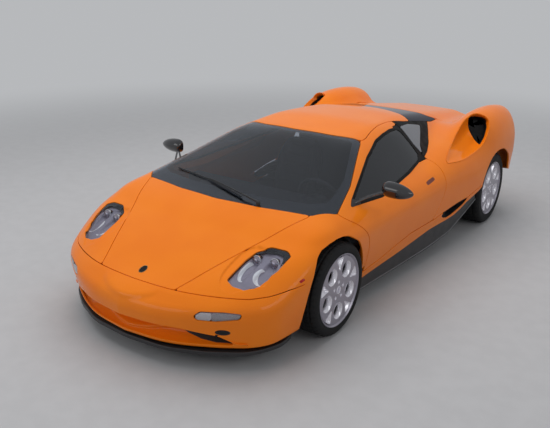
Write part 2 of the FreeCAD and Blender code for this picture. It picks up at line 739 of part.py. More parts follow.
def closed_sketch(body, name, role, points):
    """A sketch on an origin plane with one closed run of straight lines."""
    sketch = body.newObject("Sketcher::SketchObject", name)
    sketch.AttachmentSupport = [(plane_of(body, role), "")]
    sketch.MapMode = "FlatFace"
    count = len(points)
    for i in range(count):
        a = V(points[i][0], points[i][1], 0)
        b = V(points[(i + 1) % count][0], points[(i + 1) % count][1], 0)
        sketch.addGeometry(Part.LineSegment(a, b))
    for i in range(count):
        sketch.addConstraint(Sketcher.Constraint("Coincident", i, 2, (i + 1) % count, 1))
    return sketch


def wheel_placement(x, axle_y, height, flip):
    """Wheel bodies are drawn about their own Z, which becomes the axle, outer face outwards."""
    turn = FreeCAD.Rotation(Y_AXIS, -90 if flip else 90)
    return FreeCAD.Placement(V(-x if flip else x, axle_y, height), turn)


def make_tyre(label, radius, width, place):
    """A tyre revolved about its axle: bead, bulged sidewall, rounded shoulder and flat tread."""
    body = doc.addObject("PartDesign::Body", label)
    body.Label = label
    bead = size("rim_seat_radius")
    half = width / 2
    # columns: radius, distance along the axle from the tyre's middle
    outside = ((bead, half - 50), (bead, half - 30), (bead + 16, half - 30), (bead + 18, half - 14),
               (bead + 38, half), (radius - 34, half), (radius - 9, half - 14), (radius, half - 34))
    inside = ((radius - 16, half - 34), (bead + 34, half - 24), (bead + 12, half - 50))
    section = (outside + tuple((r, -across) for r, across in reversed(outside))
               + tuple((r, -across) for r, across in reversed(inside)) + inside)
    sketch = closed_sketch(body, label + "_section", "XZ_Plane", section)
    turn = body.newObject("PartDesign::Revolution", label + "_turn")
    turn.Profile = sketch
    turn.ReferenceAxis = (sketch, ["V_Axis"])
    turn.Angle = 360
    body.Placement = place
    nodes.append(body)


def make_rim(label, width, place):
    """A cast wheel: barrel, dished face with round openings, centre boss and bolt heads."""
    body = doc.addObject("PartDesign::Body", label)
    body.Label = label
    half = width / 2
    outer = size("rim_radius")
    seat = size("rim_seat_radius") - BEAD_GAP
    wall = size("barrel_wall")
    hub = size("hub_radius")
    # columns: radius, distance along the axle from the tyre's middle
    section = ((outer, half - 24), (outer, half - 12), (outer - 10, half - 10), (outer - 24, half - 26),
               (hub + 30, half - 62), (hub, half - 52), (0.01, half - 52), (0.01, half - 112),
               (hub, half - 112), (hub + 30, half - 100), (seat - wall - 6, half - 64),
               (seat - wall, half - 80), (seat - wall, -half + 20), (outer, -half + 10),
               (outer, -half + 24), (seat, -half + 28), (seat, half - 28))
    sketch = closed_sketch(body, label + "_section", "XZ_Plane", section)
    turn = body.newObject("PartDesign::Revolution", label + "_turn")
    turn.Profile = sketch
    turn.ReferenceAxis = (sketch, ["V_Axis"])
    turn.Angle = 360
    holes = body.newObject("Sketcher::SketchObject", label + "_cup")
    holes.AttachmentSupport = [(plane_of(body, "XY_Plane"), "")]
    holes.MapMode = "FlatFace"
    holes.addGeometry(Part.Circle(V(0, size("cup_circle"), 0), Z_AXIS, size("cup_radius")))
    holes.addConstraint(Sketcher.Constraint("Radius", 0, size("cup_radius")))
    holes.setExpression("Constraints[0]", "sizes.cup_radius")
    cut = body.newObject("PartDesign::Pocket", label + "_opening")
    cut.Profile = holes
    cut.Type = 1
    cut.Midplane = False
    cut.Reversed = True
    doc.recompute()
    ring_of = body.newObject("PartDesign::PolarPattern", label + "_openings")
    ring_of.Originals = [cut]
    ring_of.Axis = (holes, ["N_Axis"])
    ring_of.Angle = 360
    ring_of.Occurrences = 5
    body.Tip = ring_of
    body.Placement = place
    nodes.append(body)


def make_wheels():
    """Four tyres and four rims."""
    # columns: name, axle place, height, outer face, width
    table = (("front", FRONT_Y, size("front_tyre_radius"), size("front_outer_face"), size("front_tyre_width")),
             ("rear", REAR_Y, size("rear_tyre_radius"), size("rear_outer_face"), size("rear_tyre_width")))
    for name, axle_y, height, face, width in table:
        for hand in ("left", "right"):
            place = wheel_placement(face - width / 2, axle_y, height, hand == "right")
            make_tyre("tyre_%s_%s" % (name, hand), height, width, place)
            make_rim("rim_%s_%s" % (name, hand), width, place)


def make_knuckles():
    """Steered front hub carriers with their stub axles and brake discs' calipers."""
    z = size("front_tyre_radius")
    carrier = box((750, 800), (FRONT_Y - 40, FRONT_Y + 40), (z - 110, z + 110))
    stub = Part.makeCylinder(20, 20, V(798, FRONT_Y, z), X_AXIS)
    shape = solid_of(carrier.fuse(stub))
    keep("knuckle_left", shape)
    keep("knuckle_right", mirrored(shape))


def make_suspension():
    """Wishbones and crossmembers that carry the knuckles and the rear hubs."""
    parts = []
    z = size("front_tyre_radius")
    for height in (z - 95, z + 80):
        parts.append(box((470, 728), (FRONT_Y - 30, FRONT_Y + 30), (height - 9, height + 9)))
    z = size("rear_tyre_radius")
    parts.append(box((540, 640), (REAR_Y - 60, REAR_Y + 60), (z - 120, z + 120)))
    parts.append(box((320, 540), (REAR_Y - 40, REAR_Y + 40), (z - 100, z - 80)))
    keep("suspension", Part.makeCompound(parts + [mirrored(p) for p in parts]))


for make in (make_bonnet, make_windscreen, make_roof, make_rear_band, make_engine_lid, make_doors,
             make_front_bumper, make_splitter, make_fenders, make_sills, make_skirts,
             make_rear_quarters, make_quarter_windows, make_rear_bumper, make_rear_grille,
             make_lamps, make_liners, make_floor, make_front_bay, make_bulkheads, make_diffuser,
             make_exhausts, make_engine, make_dashboard, make_seats, make_steering_wheel,
             make_mirrors, make_wheels, make_knuckles, make_suspension):
    make()
doc.recompute()

# ---------------------------------------------------------------- checks and export
os.makedirs("parts", exist_ok=True)
for thing in doc.Objects:
    if "Invalid" in thing.State or "Error" in thing.State:
        raise RuntimeError("%s did not build" % thing.Label)
for node in nodes:
    shape = node.Shape
    if shape.isNull() or not shape.isValid() or not shape.Solids:
        raise RuntimeError("%s has no valid solid" % node.Label)
    print("%-20s %d solids %5d faces %9.1f cm3" % (node.Label, len(shape.Solids), len(shape.Faces),
                                                  shape.Volume / 1000))
for node in nodes:
    node.Shape.exportStep("parts/%s.step" % node.Label)
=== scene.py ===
"""Looks of a low mid-engined supercar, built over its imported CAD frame.

The painted shell is one closed form, BodyForm. Every panel is a part of that form's surface: rays
meet it on a two-parameter grid, the grid is cut along the panel's outline, its edges are rolled
over and it is closed with an inner face. Wheels, lamps, glass and cabin are classes of their own.

Frame: metres, origin on the ground below the middle, nose towards -Y, the car's left at +X.
"""
from __future__ import annotations

import functools
import logging
import math
from dataclasses import dataclass
from enum import Enum
from typing import Callable, Iterable, Sequence

import bpy
import mathutils
import numpy as np
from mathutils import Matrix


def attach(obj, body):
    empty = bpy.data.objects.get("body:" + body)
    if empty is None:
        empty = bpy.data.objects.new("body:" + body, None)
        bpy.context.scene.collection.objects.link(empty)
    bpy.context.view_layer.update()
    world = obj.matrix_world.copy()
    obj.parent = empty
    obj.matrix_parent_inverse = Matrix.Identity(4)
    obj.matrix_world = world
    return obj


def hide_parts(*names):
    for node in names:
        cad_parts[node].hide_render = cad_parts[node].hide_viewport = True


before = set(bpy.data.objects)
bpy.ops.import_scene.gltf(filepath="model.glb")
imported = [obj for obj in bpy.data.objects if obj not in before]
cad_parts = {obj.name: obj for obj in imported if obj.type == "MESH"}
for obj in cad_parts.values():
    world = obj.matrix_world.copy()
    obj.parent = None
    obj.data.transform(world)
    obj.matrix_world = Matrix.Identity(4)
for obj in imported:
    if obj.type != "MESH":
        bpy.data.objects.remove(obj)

log = logging.getLogger("supercar")
Array = np.ndarray
Table = Sequence[tuple[float, float]]
Rows = Sequence[tuple[float, ...]]
Colour = tuple[float, float, float]

X = np.array((1.0, 0.0, 0.0))
Y = np.array((0.0, 1.0, 0.0))
Z = np.array((0.0, 0.0, 1.0))
MM = 0.001
TINY = 1e-12        # keeps a division away from zero


# ------------------------------------------------------------------ small maths
def unit(vectors: Array) -> Array:
    """Vectors scaled to length one along the last axis."""
    return vectors / np.maximum(np.linalg.norm(vectors, axis=-1, keepdims=True), TINY)


def ramp(t: Array, soft: float) -> Array:
    """0 below zero and t above it, with a soft bend between -soft and +soft."""
    s = np.clip(t / soft, -1.0, 1.0)
    bend = np.where(s < 0, (1 + s) ** 3 / 6, s + (1 - s) ** 3 / 6) * soft
    return np.where(t <= -soft, 0.0, np.where(t >= soft, t, bend))


@functools.lru_cache(maxsize=None)
def curve(table: Table, soft: float) -> tuple[Array, Array]:
    """Straight runs through the table's points, each bend softened, at places 1 mm apart."""
    knots = np.array(table)
    slopes = np.diff(knots[:, 1]) / np.diff(knots[:, 0])
    t = np.arange(-4.0, 4.0, MM)
    value = knots[0, 1] + slopes[0] * (t - knots[0, 0])
    for knot, change in zip(knots[1:-1, 0], np.diff(slopes)):
        value = value + change * ramp(t - knot, soft)
    return t, value


def profile(t: Array, table: Table, soft: float) -> Array:
    """The value of a table's softened curve at t."""
    return np.interp(t, *curve(table, soft))


def blend_min(a: Array, b: Array, soft: float) -> Array:
    """The smaller of two fields, rounded where they meet."""
    share = np.clip(0.5 + 0.5 * (b - a) / soft, 0.0, 1.0)
    return b * (1 - share) + a * share - soft * share * (1 - share)


def blend_max(a: Array, b: Array, soft: float) -> Array:
    """The larger of two fields, rounded where they meet."""
    return -blend_min(-a, -b, soft)


def smooth(t: Array, low: float, high: float) -> Array:
    """0 before low, 1 beyond high and an S between them; low may be the larger."""
    s = np.clip((t - low) / (high - low), 0.0, 1.0)
    return s * s * (3 - 2 * s)


def bump(t: Array, middle: float, width: float) -> Array:
    """A bell of height 1 at the middle."""
    return np.exp(-((t - middle) / width) ** 2)


def once_round(count: int) -> Array:
    """Angles that go once round in even steps."""
    return np.linspace(0.0, 2 * math.pi, count, endpoint=False)


# ------------------------------------------------------------------ the shell's form
@dataclass(frozen=True)
class BodyForm:
    """The painted shell as a field: positive inside, 0 on the surface, about 1 a metre.

    Each table's columns are a place along the car (or, for the two plans, a distance from the
    middle plane) and a value.
    """

    top_line: Table = ((-2.3, 0.42), (-2.03, 0.487), (-1.87, 0.56), (-1.3, 0.768), (-0.4, 1.065),
                       (0.05, 1.108), (0.6, 1.085), (1.1, 1.012), (2.3, 0.84))
    top_crown: Table = ((-2.2, 0.02), (-1.3, 0.05), (-0.4, 0.13), (0.6, 0.12), (1.2, 0.05), (2.2, 0.05))
    low_line: Table = ((-2.3, 0.42), (-2.03, 0.487), (-1.87, 0.56), (-1.3, 0.768), (-0.95, 0.775),
                       (0.2, 0.8), (0.75, 0.88), (1.2, 0.93), (2.3, 0.82))
    half_width: Table = ((-2.3, 0.8), (-1.9, 0.885), (-1.5, 0.945), (-1.1, 0.95), (-0.5, 0.945),
                         (0.3, 0.965), (1.0, 1.018), (1.5, 1.03), (1.95, 1.0), (2.3, 0.93))
    undercut: Table = ((-2.3, 0.06), (-1.5, 0.12), (-0.85, 0.24), (-0.3, 0.15), (0.5, 0.07),
                       (1.1, 0.0), (2.3, 0.0))
    belt_width: Table = ((-1.4, 0.8), (-1.0, 0.8), (-0.3, 0.8), (0.3, 0.785), (0.8, 0.7), (1.4, 0.58))
    underside: Table = ((-2.3, 0.15), (-1.0, 0.16), (0.5, 0.2), (2.3, 0.24))
    nose_plan: Table = ((-0.1, -2.252), (0.3, -2.212), (0.55, -2.096), (0.78, -1.94), (1.0, -1.75))
    tail_plan: Table = ((-0.1, 2.235), (0.5, 2.205), (0.8, 2.09), (1.05, 1.89))
    belt: float = 0.78      # the height that belt_width is given at
    halvings: int = 25      # how often a ray's search is halved

    def haunch(self, a: Array, y: Array, z: Array) -> Array:
        """The rounded hump over each rear wheel: a long ellipsoid with a straight middle."""
        across = (a - 0.79) / 0.24
        upward = (z - 0.71) / 0.315
        ahead = ramp(1.58 - y, 0.05) / 0.68
        behind = ramp(y - 1.64, 0.05) / 0.78
        return 0.22 * (1 - np.sqrt(across ** 2 + upward ** 2 + ahead ** 2 + behind ** 2))

    @staticmethod
    def relief(a: Array, y: Array, z: Array) -> Array:
        """How far the shell is pressed in: the dish round each headlamp and the crease of the nose."""
        squarish = (np.abs(a - 0.625) / 0.137) ** 3 + (np.abs(y + 1.76) / 0.187) ** 3
        dish = blend_min(0.16 * (1 - squarish ** (1 / 3)), 0.71 * (y + 1.94) - 0.7 * (a - 0.618), 0.01)
        dish = 0.010 * smooth(dish, -0.002, 0.010) * smooth(z, 0.4, 0.45)
        # the middle of the nose stands proud of a line shaped like a wide U
        inner = blend_min(0.235 - a, z - 0.40 - 0.9 * a * a, 0.05)
        front = smooth(-y, 1.8, 2.0) * smooth(0.475 - z, 0.0, 0.05)
        outer = smooth(0.62 - a, 0.0, 0.32) * smooth(z, 0.28, 0.38)
        return dish + 0.012 * front * smooth(-inner, -0.030, 0.012) * outer

    def __call__(self, p: Array) -> Array:
        """The field at points of shape (..., 3)."""
        a, y, z = np.abs(p[..., 0]), p[..., 1], p[..., 2]
        roof = profile(y, self.top_line, 0.16) - profile(y, self.top_crown, 0.2) * a * a - z
        windows = (profile(y, self.belt_width, 0.3) - (z - self.belt) - a) * 0.72
        cabin = blend_min(blend_min(roof, windows, 0.07), z - 0.69, 0.05)
        shoulder = profile(y, self.low_line, 0.16) - 0.05 * a * a - z
        flank = profile(y, self.half_width, 0.3) - a
        flank = flank - 1.4 * ramp(z - 0.55, 0.1) ** 2 - 0.25 * ramp(0.5 - z, 0.1) ** 2
        flank = flank - profile(y, self.undercut, 0.2) * ramp(0.6 - z, 0.18)
        body = blend_max(cabin, blend_min(shoulder, flank, 0.16), 0.03)
        body = blend_max(body, self.haunch(a, y, z), 0.06)
        nose = y - profile(a, self.nose_plan, 0.2) - 1.2 * ramp(z - 0.42, 0.05) - 0.25 * ramp(0.36 - z, 0.05)
        tail = profile(a, self.tail_plan, 0.2) - y - 0.3 * ramp(0.45 - z, 0.1)
        body = blend_min(blend_min(body, nose, 0.1), tail, 0.08)
        return blend_min(body, z - profile(y, self.underside, 0.2), 0.03) - self.relief(a, y, z)

    def cast(self, start: Array, direction: Array, far: float = 2.6) -> Array:
        """Where rays from inside the form leave it."""
        near = np.zeros(start.shape[:-1])
        beyond = np.full(start.shape[:-1], far)
        for _ in range(self.halvings):
            middle = (near + beyond) / 2
            inside = self(start + direction * middle[..., None]) > 0
            near = np.where(inside, middle, near)
            beyond = np.where(inside, beyond, middle)
        return start + direction * near[..., None]

    def leave(self, start: Array, axis: Array, far: float) -> Array:
        """Where rays that all run along one axis leave the form."""
        return self.cast(start, np.broadcast_to(axis, start.shape), far)

    def above(self, x: Array, y: Array, far: float) -> Array:
        """The shell's points over places in plan."""
        return self.leave(np.stack((x, y, 0 * x + 0.3), -1), Z, far)

    def normal(self, p: Array, step: float = 1.5 * MM) -> Array:
        """The outward normal at points near the surface, by central differences."""
        parts = [self(p - axis * step) - self(p + axis * step) for axis in (X, Y, Z)]
        return unit(np.stack(parts, -1))


FORM = BodyForm()


# ------------------------------------------------------------------ outlines and cuts
class Plane(Enum):
    """The view an outline is drawn in, by the two directions its coordinates run along."""

    PLAN = ((1.0, 0.0, 0.0), (0.0, 1.0, 0.0))
    SIDE = ((0.0, 1.0, 0.0), (0.0, 0.0, 1.0))
    FRONT = ((1.0, 0.0, 0.0), (0.0, 0.0, 1.0))
    SCOOP = ((0.9164, 0.4003, 0.0), (-0.1206, 0.2761, 0.9535))

    def flat(self, p: Array) -> Array:
        """Points' two coordinates in this view."""
        return p @ np.array(self.value).T

    def solid(self, q: Array) -> Array:
        """The points of the view's own plane through the origin that have these coordinates."""
        return q @ np.array(self.value)


class Cut:
    """A signed distance in one view: positive on the side that is kept."""

    def distance(self, p: Array) -> tuple[Array, Array]:
        """Signed distance and its unit gradient (..., 3) at points."""
        raise NotImplementedError

    def __invert__(self) -> "Cut":
        """Everything this cut leaves out."""
        return Outside(self)

    def inset(self, amount: float) -> "Cut":
        """The same cut with its edge moved inwards by amount."""
        return Moved(self, amount)


@dataclass(frozen=True)
class Outside(Cut):
    """Everything another cut leaves out."""

    other: Cut

    def distance(self, p: Array) -> tuple[Array, Array]:
        """See Cut.distance."""
        value, slope = self.other.distance(p)
        return -value, -slope


@dataclass(frozen=True)
class Moved(Cut):
    """Another cut, its edge moved inwards."""

    other: Cut
    amount: float

    def distance(self, p: Array) -> tuple[Array, Array]:
        """See Cut.distance."""
        value, slope = self.other.distance(p)
        return value - self.amount, slope


@dataclass(frozen=True)
class Half(Cut):
    """A flat cut across one axis: keeps what lies beyond the value, on the sign's side."""

    axis: int
    value: float
    sign: float = 1.0

    def distance(self, p: Array) -> tuple[Array, Array]:
        """See Cut.distance."""
        slope = np.zeros(p.shape)
        slope[..., self.axis] = self.sign
        return (p[..., self.axis] - self.value) * self.sign, slope


@dataclass(frozen=True)
class Both(Cut):
    """What two cuts both keep, as one cut that can be turned inside out."""

    first: Cut
    second: Cut

    def distance(self, p: Array) -> tuple[Array, Array]:
        """See Cut.distance."""
        a, slope_a = self.first.distance(p)
        b, slope_b = self.second.distance(p)
        return np.minimum(a, b), np.where((a < b)[..., None], slope_a, slope_b)


@dataclass(frozen=True)
class Disc(Cut):
    """The inside of a circle, or of an ellipse a little off round, in one view."""

    plane: Plane
    centre: tuple[float, float]
    radius: float
    stretch: float = 1.0

    def distance(self, p: Array) -> tuple[Array, Array]:
        """See Cut.distance."""
        q = (self.plane.flat(p) - self.centre) / (self.stretch, 1.0)
        size = np.maximum(np.linalg.norm(q, axis=-1), 1e-9)
        slope = -q / size[..., None] / (self.stretch, 1.0)
        length = np.linalg.norm(slope, axis=-1)
        return (self.radius - size) / length, self.plane.solid(slope / length[..., None])


class Outline(Cut):
    """A closed outline of straight runs whose corners are rounded by arcs.

    Args:
        plane: the view it is drawn in.
        corners: columns are the view's two coordinates and the corner's radius.
        mirror: draws the other half as the mirror image about the middle plane.
    """

    far = 0.04      # beyond this from its box an outline's distance isn't worked out
    most = 0.48     # the largest share of a run that a corner's arc takes up
    straight = 1.553    # a corner whose half angle is larger than this stays as it is
    steps = 9       # points along an arc

    def __init__(self, plane: Plane, corners: Sequence[tuple[float, float, float]],
                 mirror: bool = False) -> None:
        """Rounds the corners and turns the points so that the inside is on their left."""
        self.plane = plane
        rows = list(corners)
        if mirror:
            rows += [(-a, b, r) for a, b, r in reversed(rows) if a > 1e-6]
        self.points = self._rounded(np.array(rows))
        following = np.roll(self.points, -1, axis=0)
        turn = np.sum(self.points[:, 0] * following[:, 1] - following[:, 0] * self.points[:, 1])
        if turn < 0:
            self.points = self.points[::-1].copy()

    @staticmethod
    def _rounded(rows: Array) -> Array:
        """The outline's points, each corner replaced by an arc of its radius."""
        points = []
        count = len(rows)
        for k in range(count):
            here = rows[k, :2]
            before = rows[k - 1, :2] - here
            after = rows[(k + 1) % count, :2] - here
            room = Outline.most * min(np.linalg.norm(before), np.linalg.norm(after))
            before, after = unit(before), unit(after)
            half = math.acos(float(np.clip(before @ after, -1.0, 1.0))) / 2
            back = min(rows[k, 2] / max(math.tan(half), 1e-6), room)
            if half > Outline.straight or back < 0.5 * MM:
                points.append(here)
                continue
            share = np.linspace(0.0, 1.0, Outline.steps)[:, None]
            start, end = here + before * back, here + after * back
            # a quadratic curve through the tangent points, near enough to the arc
            points.extend((1 - share) ** 2 * start + 2 * share * (1 - share) * here + share ** 2 * end)
        return np.array(points)

    def distance(self, p: Array) -> tuple[Array, Array]:
        """See Cut.distance."""
        q = self.plane.flat(p).reshape(-1, 2)
        low, high = self.points.min(0) - self.far, self.points.max(0) + self.far
        near = np.all((q > low) & (q < high), axis=1)
        value = np.full(len(q), -self.far)
        slope = unit((low + high) / 2 - q)
        value[near], slope[near] = self._close(q[near])
        return value.reshape(p.shape[:-1]), self.plane.solid(slope).reshape(p.shape)

    def _close(self, q: Array) -> tuple[Array, Array]:
        """The exact signed distance and its slope in the view, for points near the outline."""
        start = self.points
        run = np.roll(start, -1, axis=0) - start
        length = np.maximum(np.einsum("ij,ij->i", run, run), 1e-14)
        best = np.full(len(q), np.inf)
        nearest = np.zeros_like(q)
        normal = np.zeros_like(q)
        crossings = np.zeros(len(q), dtype=int)
        for a, r, square in zip(start, run, length):
            share = np.clip(((q - a) @ r) / square, 0.0, 1.0)
            foot = a + share[:, None] * r
            away = np.einsum("ij,ij->i", q - foot, q - foot)
            closer = away < best
            best = np.where(closer, away, best)
            nearest = np.where(closer[:, None], foot, nearest)
            normal = np.where(closer[:, None], np.array((-r[1], r[0])) / math.sqrt(square), normal)
            spans = (a[1] > q[:, 1]) != (a[1] + r[1] > q[:, 1])
            if abs(r[1]) > TINY:
                crossings += spans & (q[:, 0] < a[0] + r[0] * (q[:, 1] - a[1]) / r[1])
        size = np.sqrt(best)
        sign = np.where(crossings % 2 == 1, 1.0, -1.0)
        # right on the outline the way there is lost, and the run's own normal takes its place
        way = (q - nearest) / np.maximum(size, 1e-9)[:, None] * sign[:, None]
        return size * sign, np.where((size > 1e-5)[:, None], way, normal)


LEAST_SLOPE = 0.2       # a cut's slope along the surface counts as no less than this
SEARCH_STEPS = 7        # how often a point on a cut's edge is brought nearer to it
ROLL_ANGLES = (30.0, 60.0, 90.0)        # degrees round a rolled edge at which it has a ring of points


def region(fields: Sequence[tuple[Array, Array]], n: Array, soft: float = 2.5 * MM) -> tuple[Array, Array]:
    """All cuts together, measured along the surface, and the direction that leads out of the region.

    A cut's distance in its view is divided by the share of its slope that lies in the surface, so
    that a gap is as wide on a slanted surface as on one that faces the view.

    Args:
        fields: each cut's distances and slopes at the points.
        n: the surface's normals there.
        soft: how widely two cuts' edges are rounded where they meet.

    Returns:
        The distance to the region's edge, positive inside, and a unit direction in the surface.
    """
    values, slopes = [], []
    for value, slope in fields:
        along = slope - n * np.sum(slope * n, -1, keepdims=True)
        size = np.maximum(np.linalg.norm(along, axis=-1), LEAST_SLOPE)
        values.append(value / size)
        slopes.append(along / size[..., None])
    stack = np.stack(values)
    least = stack.min(0)
    weights = np.exp(-(stack - least) / soft)
    total = least - soft * np.log(weights.sum(0))
    inward = sum(w[..., None] * s for w, s in zip(weights, slopes))
    return total, -unit(inward)


# ------------------------------------------------------------------ surfaces on a grid
class Patch:
    """A surface over a two-parameter grid. Rows and columns may be asked for between grid lines."""

    rows: int
    columns: int

    def at(self, row: Array, column: Array) -> tuple[Array, Array]:
        """Points and outward normals at grid coordinates."""
        raise NotImplementedError

    def field(self, cut: Cut) -> tuple[Array, Array]:
        """A cut's distances and slopes over the whole grid, kept after the first call."""
        if isinstance(cut, (Outside, Moved)):
            value, slope = self.field(cut.other)
            return (-value, -slope) if isinstance(cut, Outside) else (value - cut.amount, slope)
        if not hasattr(self, "_fields"):
            self._fields: dict[int, tuple] = {}
        if id(cut) not in self._fields:
            self._fields[id(cut)] = (cut, *cut.distance(self.grid()[0]))
        return self._fields[id(cut)][1:]

    def grid(self) -> tuple[Array, Array]:
        """Points and normals on every grid line, kept after the first call."""
        if not hasattr(self, "_grid"):
            row, column = np.meshgrid(np.arange(self.rows, dtype=float), np.arange(self.columns, dtype=float),
                                      indexing="ij")
            self._grid = self.at(row, column)
        return self._grid


class SpinePatch(Patch):
    """The shell met by rays from the car's spine.

    The rays are square to the spine along the middle and fan out forwards and backwards near each
    end. Columns are angles from straight up, the left side positive. A ray sets out to the side of
    the spine by spread times the sine of its angle, so that none leaves the deck and meets a hump.
    """

    spread = 0.75       # how far to the side a level ray sets out
    height = 0.4

    def __init__(self, form: BodyForm, step: float, first: float, last: float, degrees: float,
                 tilt: float = 1.8, rear: bool = True) -> None:
        """Lays out the grid.

        Args:
            form: the field that the rays meet.
            step: the distance between rows that are square to the spine.
            first: where the spine starts, in y.
            last: where it ends.
            degrees: how far the rays turn to each side from straight up.
            tilt: the angle between the rows that fan out, in degrees.
            rear: whether rays fan out behind the spine's end too.
        """
        self.form = form
        middle = np.arange(first, last + step / 2, step)
        tilts = np.radians(np.arange(tilt, 88.0, tilt))
        behind = tilts if rear else tilts[:0]
        self.stations = np.concatenate((np.full(len(tilts), first), middle, np.full(len(behind), last)))
        self.tilts = np.concatenate((-tilts[::-1], np.zeros(len(middle)), behind))
        # a turn moves the place on the shell far more above the car than beside it
        turn = np.linspace(0.0, degrees, 721)
        pace = 0.38 + 0.95 * smooth(turn, 75.0, 40.0)
        place = np.concatenate(((0.0,), np.cumsum((pace[1:] + pace[:-1]) / 2 * np.radians(turn[1]))))
        half = np.radians(np.interp(np.arange(0.0, place[-1], 0.7 * step), place, turn))
        self.angles = np.concatenate((-half[:0:-1], half))
        self.rows, self.columns = len(self.stations), len(self.angles)

    def at(self, row: Array, column: Array) -> tuple[Array, Array]:
        """See Patch.at."""
        lines = np.arange(self.rows)
        station = np.interp(row, lines, self.stations)
        tilt = np.interp(row, lines, self.tilts)
        angle = np.interp(column, np.arange(self.columns), self.angles)
        start = np.stack((self.spread * np.sin(angle), station, 0 * station + self.height), -1)
        direction = np.stack((np.sin(angle) * np.cos(tilt), np.sin(tilt), np.cos(angle) * np.cos(tilt)), -1)
        p = self.form.cast(start, direction)
        return p, self.form.normal(p)


class FanPatch(Patch):
    """The shell met by rays from one point, over azimuth (rows) and elevation (columns).

    Azimuth 0 looks along the facing axis; positive turns towards the car's left.
    """

    def __init__(self, form: Callable, centre: tuple[float, float, float], facing: float,
                 azimuths: tuple[float, float], elevations: tuple[float, float], step: float,
                 spread: float = 0.0) -> None:
        """Lays out the grid; angles are in degrees.

        Args:
            form: the field that the rays meet.
            centre: where they come from.
            facing: the sign of the Y direction that azimuth 0 looks along.
            azimuths: the first and the last row's.
            elevations: the first and the last column's.
            step: the angle between grid lines.
            spread: how far to the side a ray at azimuth 90 sets out.
        """
        self.form = form
        self.spread = spread
        self.centre = np.array(centre)
        self.facing = facing
        self.azimuths = np.radians(np.arange(azimuths[0], azimuths[1] + step / 2, step))
        self.elevations = np.radians(np.arange(elevations[0], elevations[1] + step / 2, step))
        self.rows, self.columns = len(self.azimuths), len(self.elevations)

    def at(self, row: Array, column: Array) -> tuple[Array, Array]:
        """See Patch.at."""
        azimuth = np.interp(row, np.arange(self.rows), self.azimuths)
        elevation = np.interp(column, np.arange(self.columns), self.elevations)
        direction = np.stack((np.sin(azimuth) * np.cos(elevation),
                              np.cos(azimuth) * np.cos(elevation) * self.facing, np.sin(elevation)), -1)
        start = self.centre + X * (self.spread * np.sin(azimuth))[..., None]
        p = self.form.cast(start, direction)
        return p, self.form.normal(p)


class FormulaPatch(Patch):
    """A surface given by a formula p(u, v) over 0..1 squared; normals by central differences."""

    def __init__(self, formula: Callable[[Array, Array], Array], rows: int, columns: int,
                 flip: bool = False) -> None:
        """Keeps the formula; flip turns the normals round."""
        self.formula = formula
        self.rows, self.columns = rows, columns
        self.flip = flip

    def at(self, row: Array, column: Array) -> tuple[Array, Array]:
        """See Patch.at."""
        u = row / (self.rows - 1)
        v = column / (self.columns - 1)
        step = 1e-4
        along = self.formula(u + step, v) - self.formula(u - step, v)
        across = self.formula(u, v + step) - self.formula(u, v - step)
        n = unit(np.cross(along, across))
        return self.formula(u, v), -n if self.flip else n


# ------------------------------------------------------------------ meshes
@dataclass
class Mesh:
    """Triangles with a normal at each corner."""

    points: Array
    faces: Array
    normals: Array

    def mirrored(self) -> "Mesh":
        """The same mesh on the other side of the middle plane."""
        flip = np.array((-1.0, 1.0, 1.0))
        return Mesh(self.points * flip, self.faces[:, ::-1].copy(), (self.normals * flip)[:, ::-1].copy())

    def moved(self, matrix: Array) -> "Mesh":
        """The mesh after a rigid 4x4 motion."""
        return Mesh(self.points @ matrix[:3, :3].T + matrix[:3, 3], self.faces,
                    self.normals @ matrix[:3, :3].T)

    @staticmethod
    def joined(meshes: Iterable["Mesh"]) -> "Mesh":
        """Several meshes as one."""
        meshes = list(meshes)
        starts = np.cumsum([0] + [len(m.points) for m in meshes[:-1]])
        return Mesh(np.concatenate([m.points for m in meshes]),
                    np.concatenate([m.faces + s for m, s in zip(meshes, starts)]),
                    np.concatenate([m.normals for m in meshes]))


def quads(a: Array, b: Array, c: Array, d: Array) -> Array:
    """Two triangles for each quad whose corners run a, b, c, d."""
    return np.concatenate((np.stack((a, b, c), -1).reshape(-1, 3), np.stack((a, c, d), -1).reshape(-1, 3)))


def quad_normals(a: Array, b: Array, c: Array, d: Array) -> Array:
    """The corner normals that go with quads(a, b, c, d)."""
    return np.concatenate((np.stack((a, b, c), -2).reshape(-1, 3, 3),
                           np.stack((a, c, d), -2).reshape(-1, 3, 3)))


def spins(points: Array, faces: Array) -> Array:
    """Each triangle's normal by the way its corners run, twice its area long."""
    a, b, c = (points[faces[:, k]] for k in range(3))
    return np.cross(b - a, c - a)


def find_edge(patch: Patch, cuts: Sequence[Cut], inset: float, ends: Array, values: Array
              ) -> tuple[Array, Array, Array]:
    """Where the cuts' edge lies between pairs of grid places.

    Args:
        ends: each pair's row and column, (pairs, 2, 2), the place inside first.
        values: the distances at both, (pairs, 2).

    Returns:
        Points, normals and ways out on the edge.
    """
    low, high = np.zeros(len(ends)), np.ones(len(ends))
    at_low, at_high = values.T
    for step in range(SEARCH_STEPS):
        share = low + (high - low) * (at_low / np.maximum(at_low - at_high, TINY) if step % 2 == 0 else 0.5)
        spot = ends[:, 0] * (1 - share[:, None]) + ends[:, 1] * share[:, None]
        points, normals = patch.at(spot[:, 0], spot[:, 1])
        here, way = region([cut.distance(points) for cut in cuts], normals)
        here = here - inset
        within = here > 0
        low, at_low = np.where(within, share, low), np.where(within, here, at_low)
        high, at_high = np.where(within, high, share), np.where(within, at_high, here)
    return points, normals, way


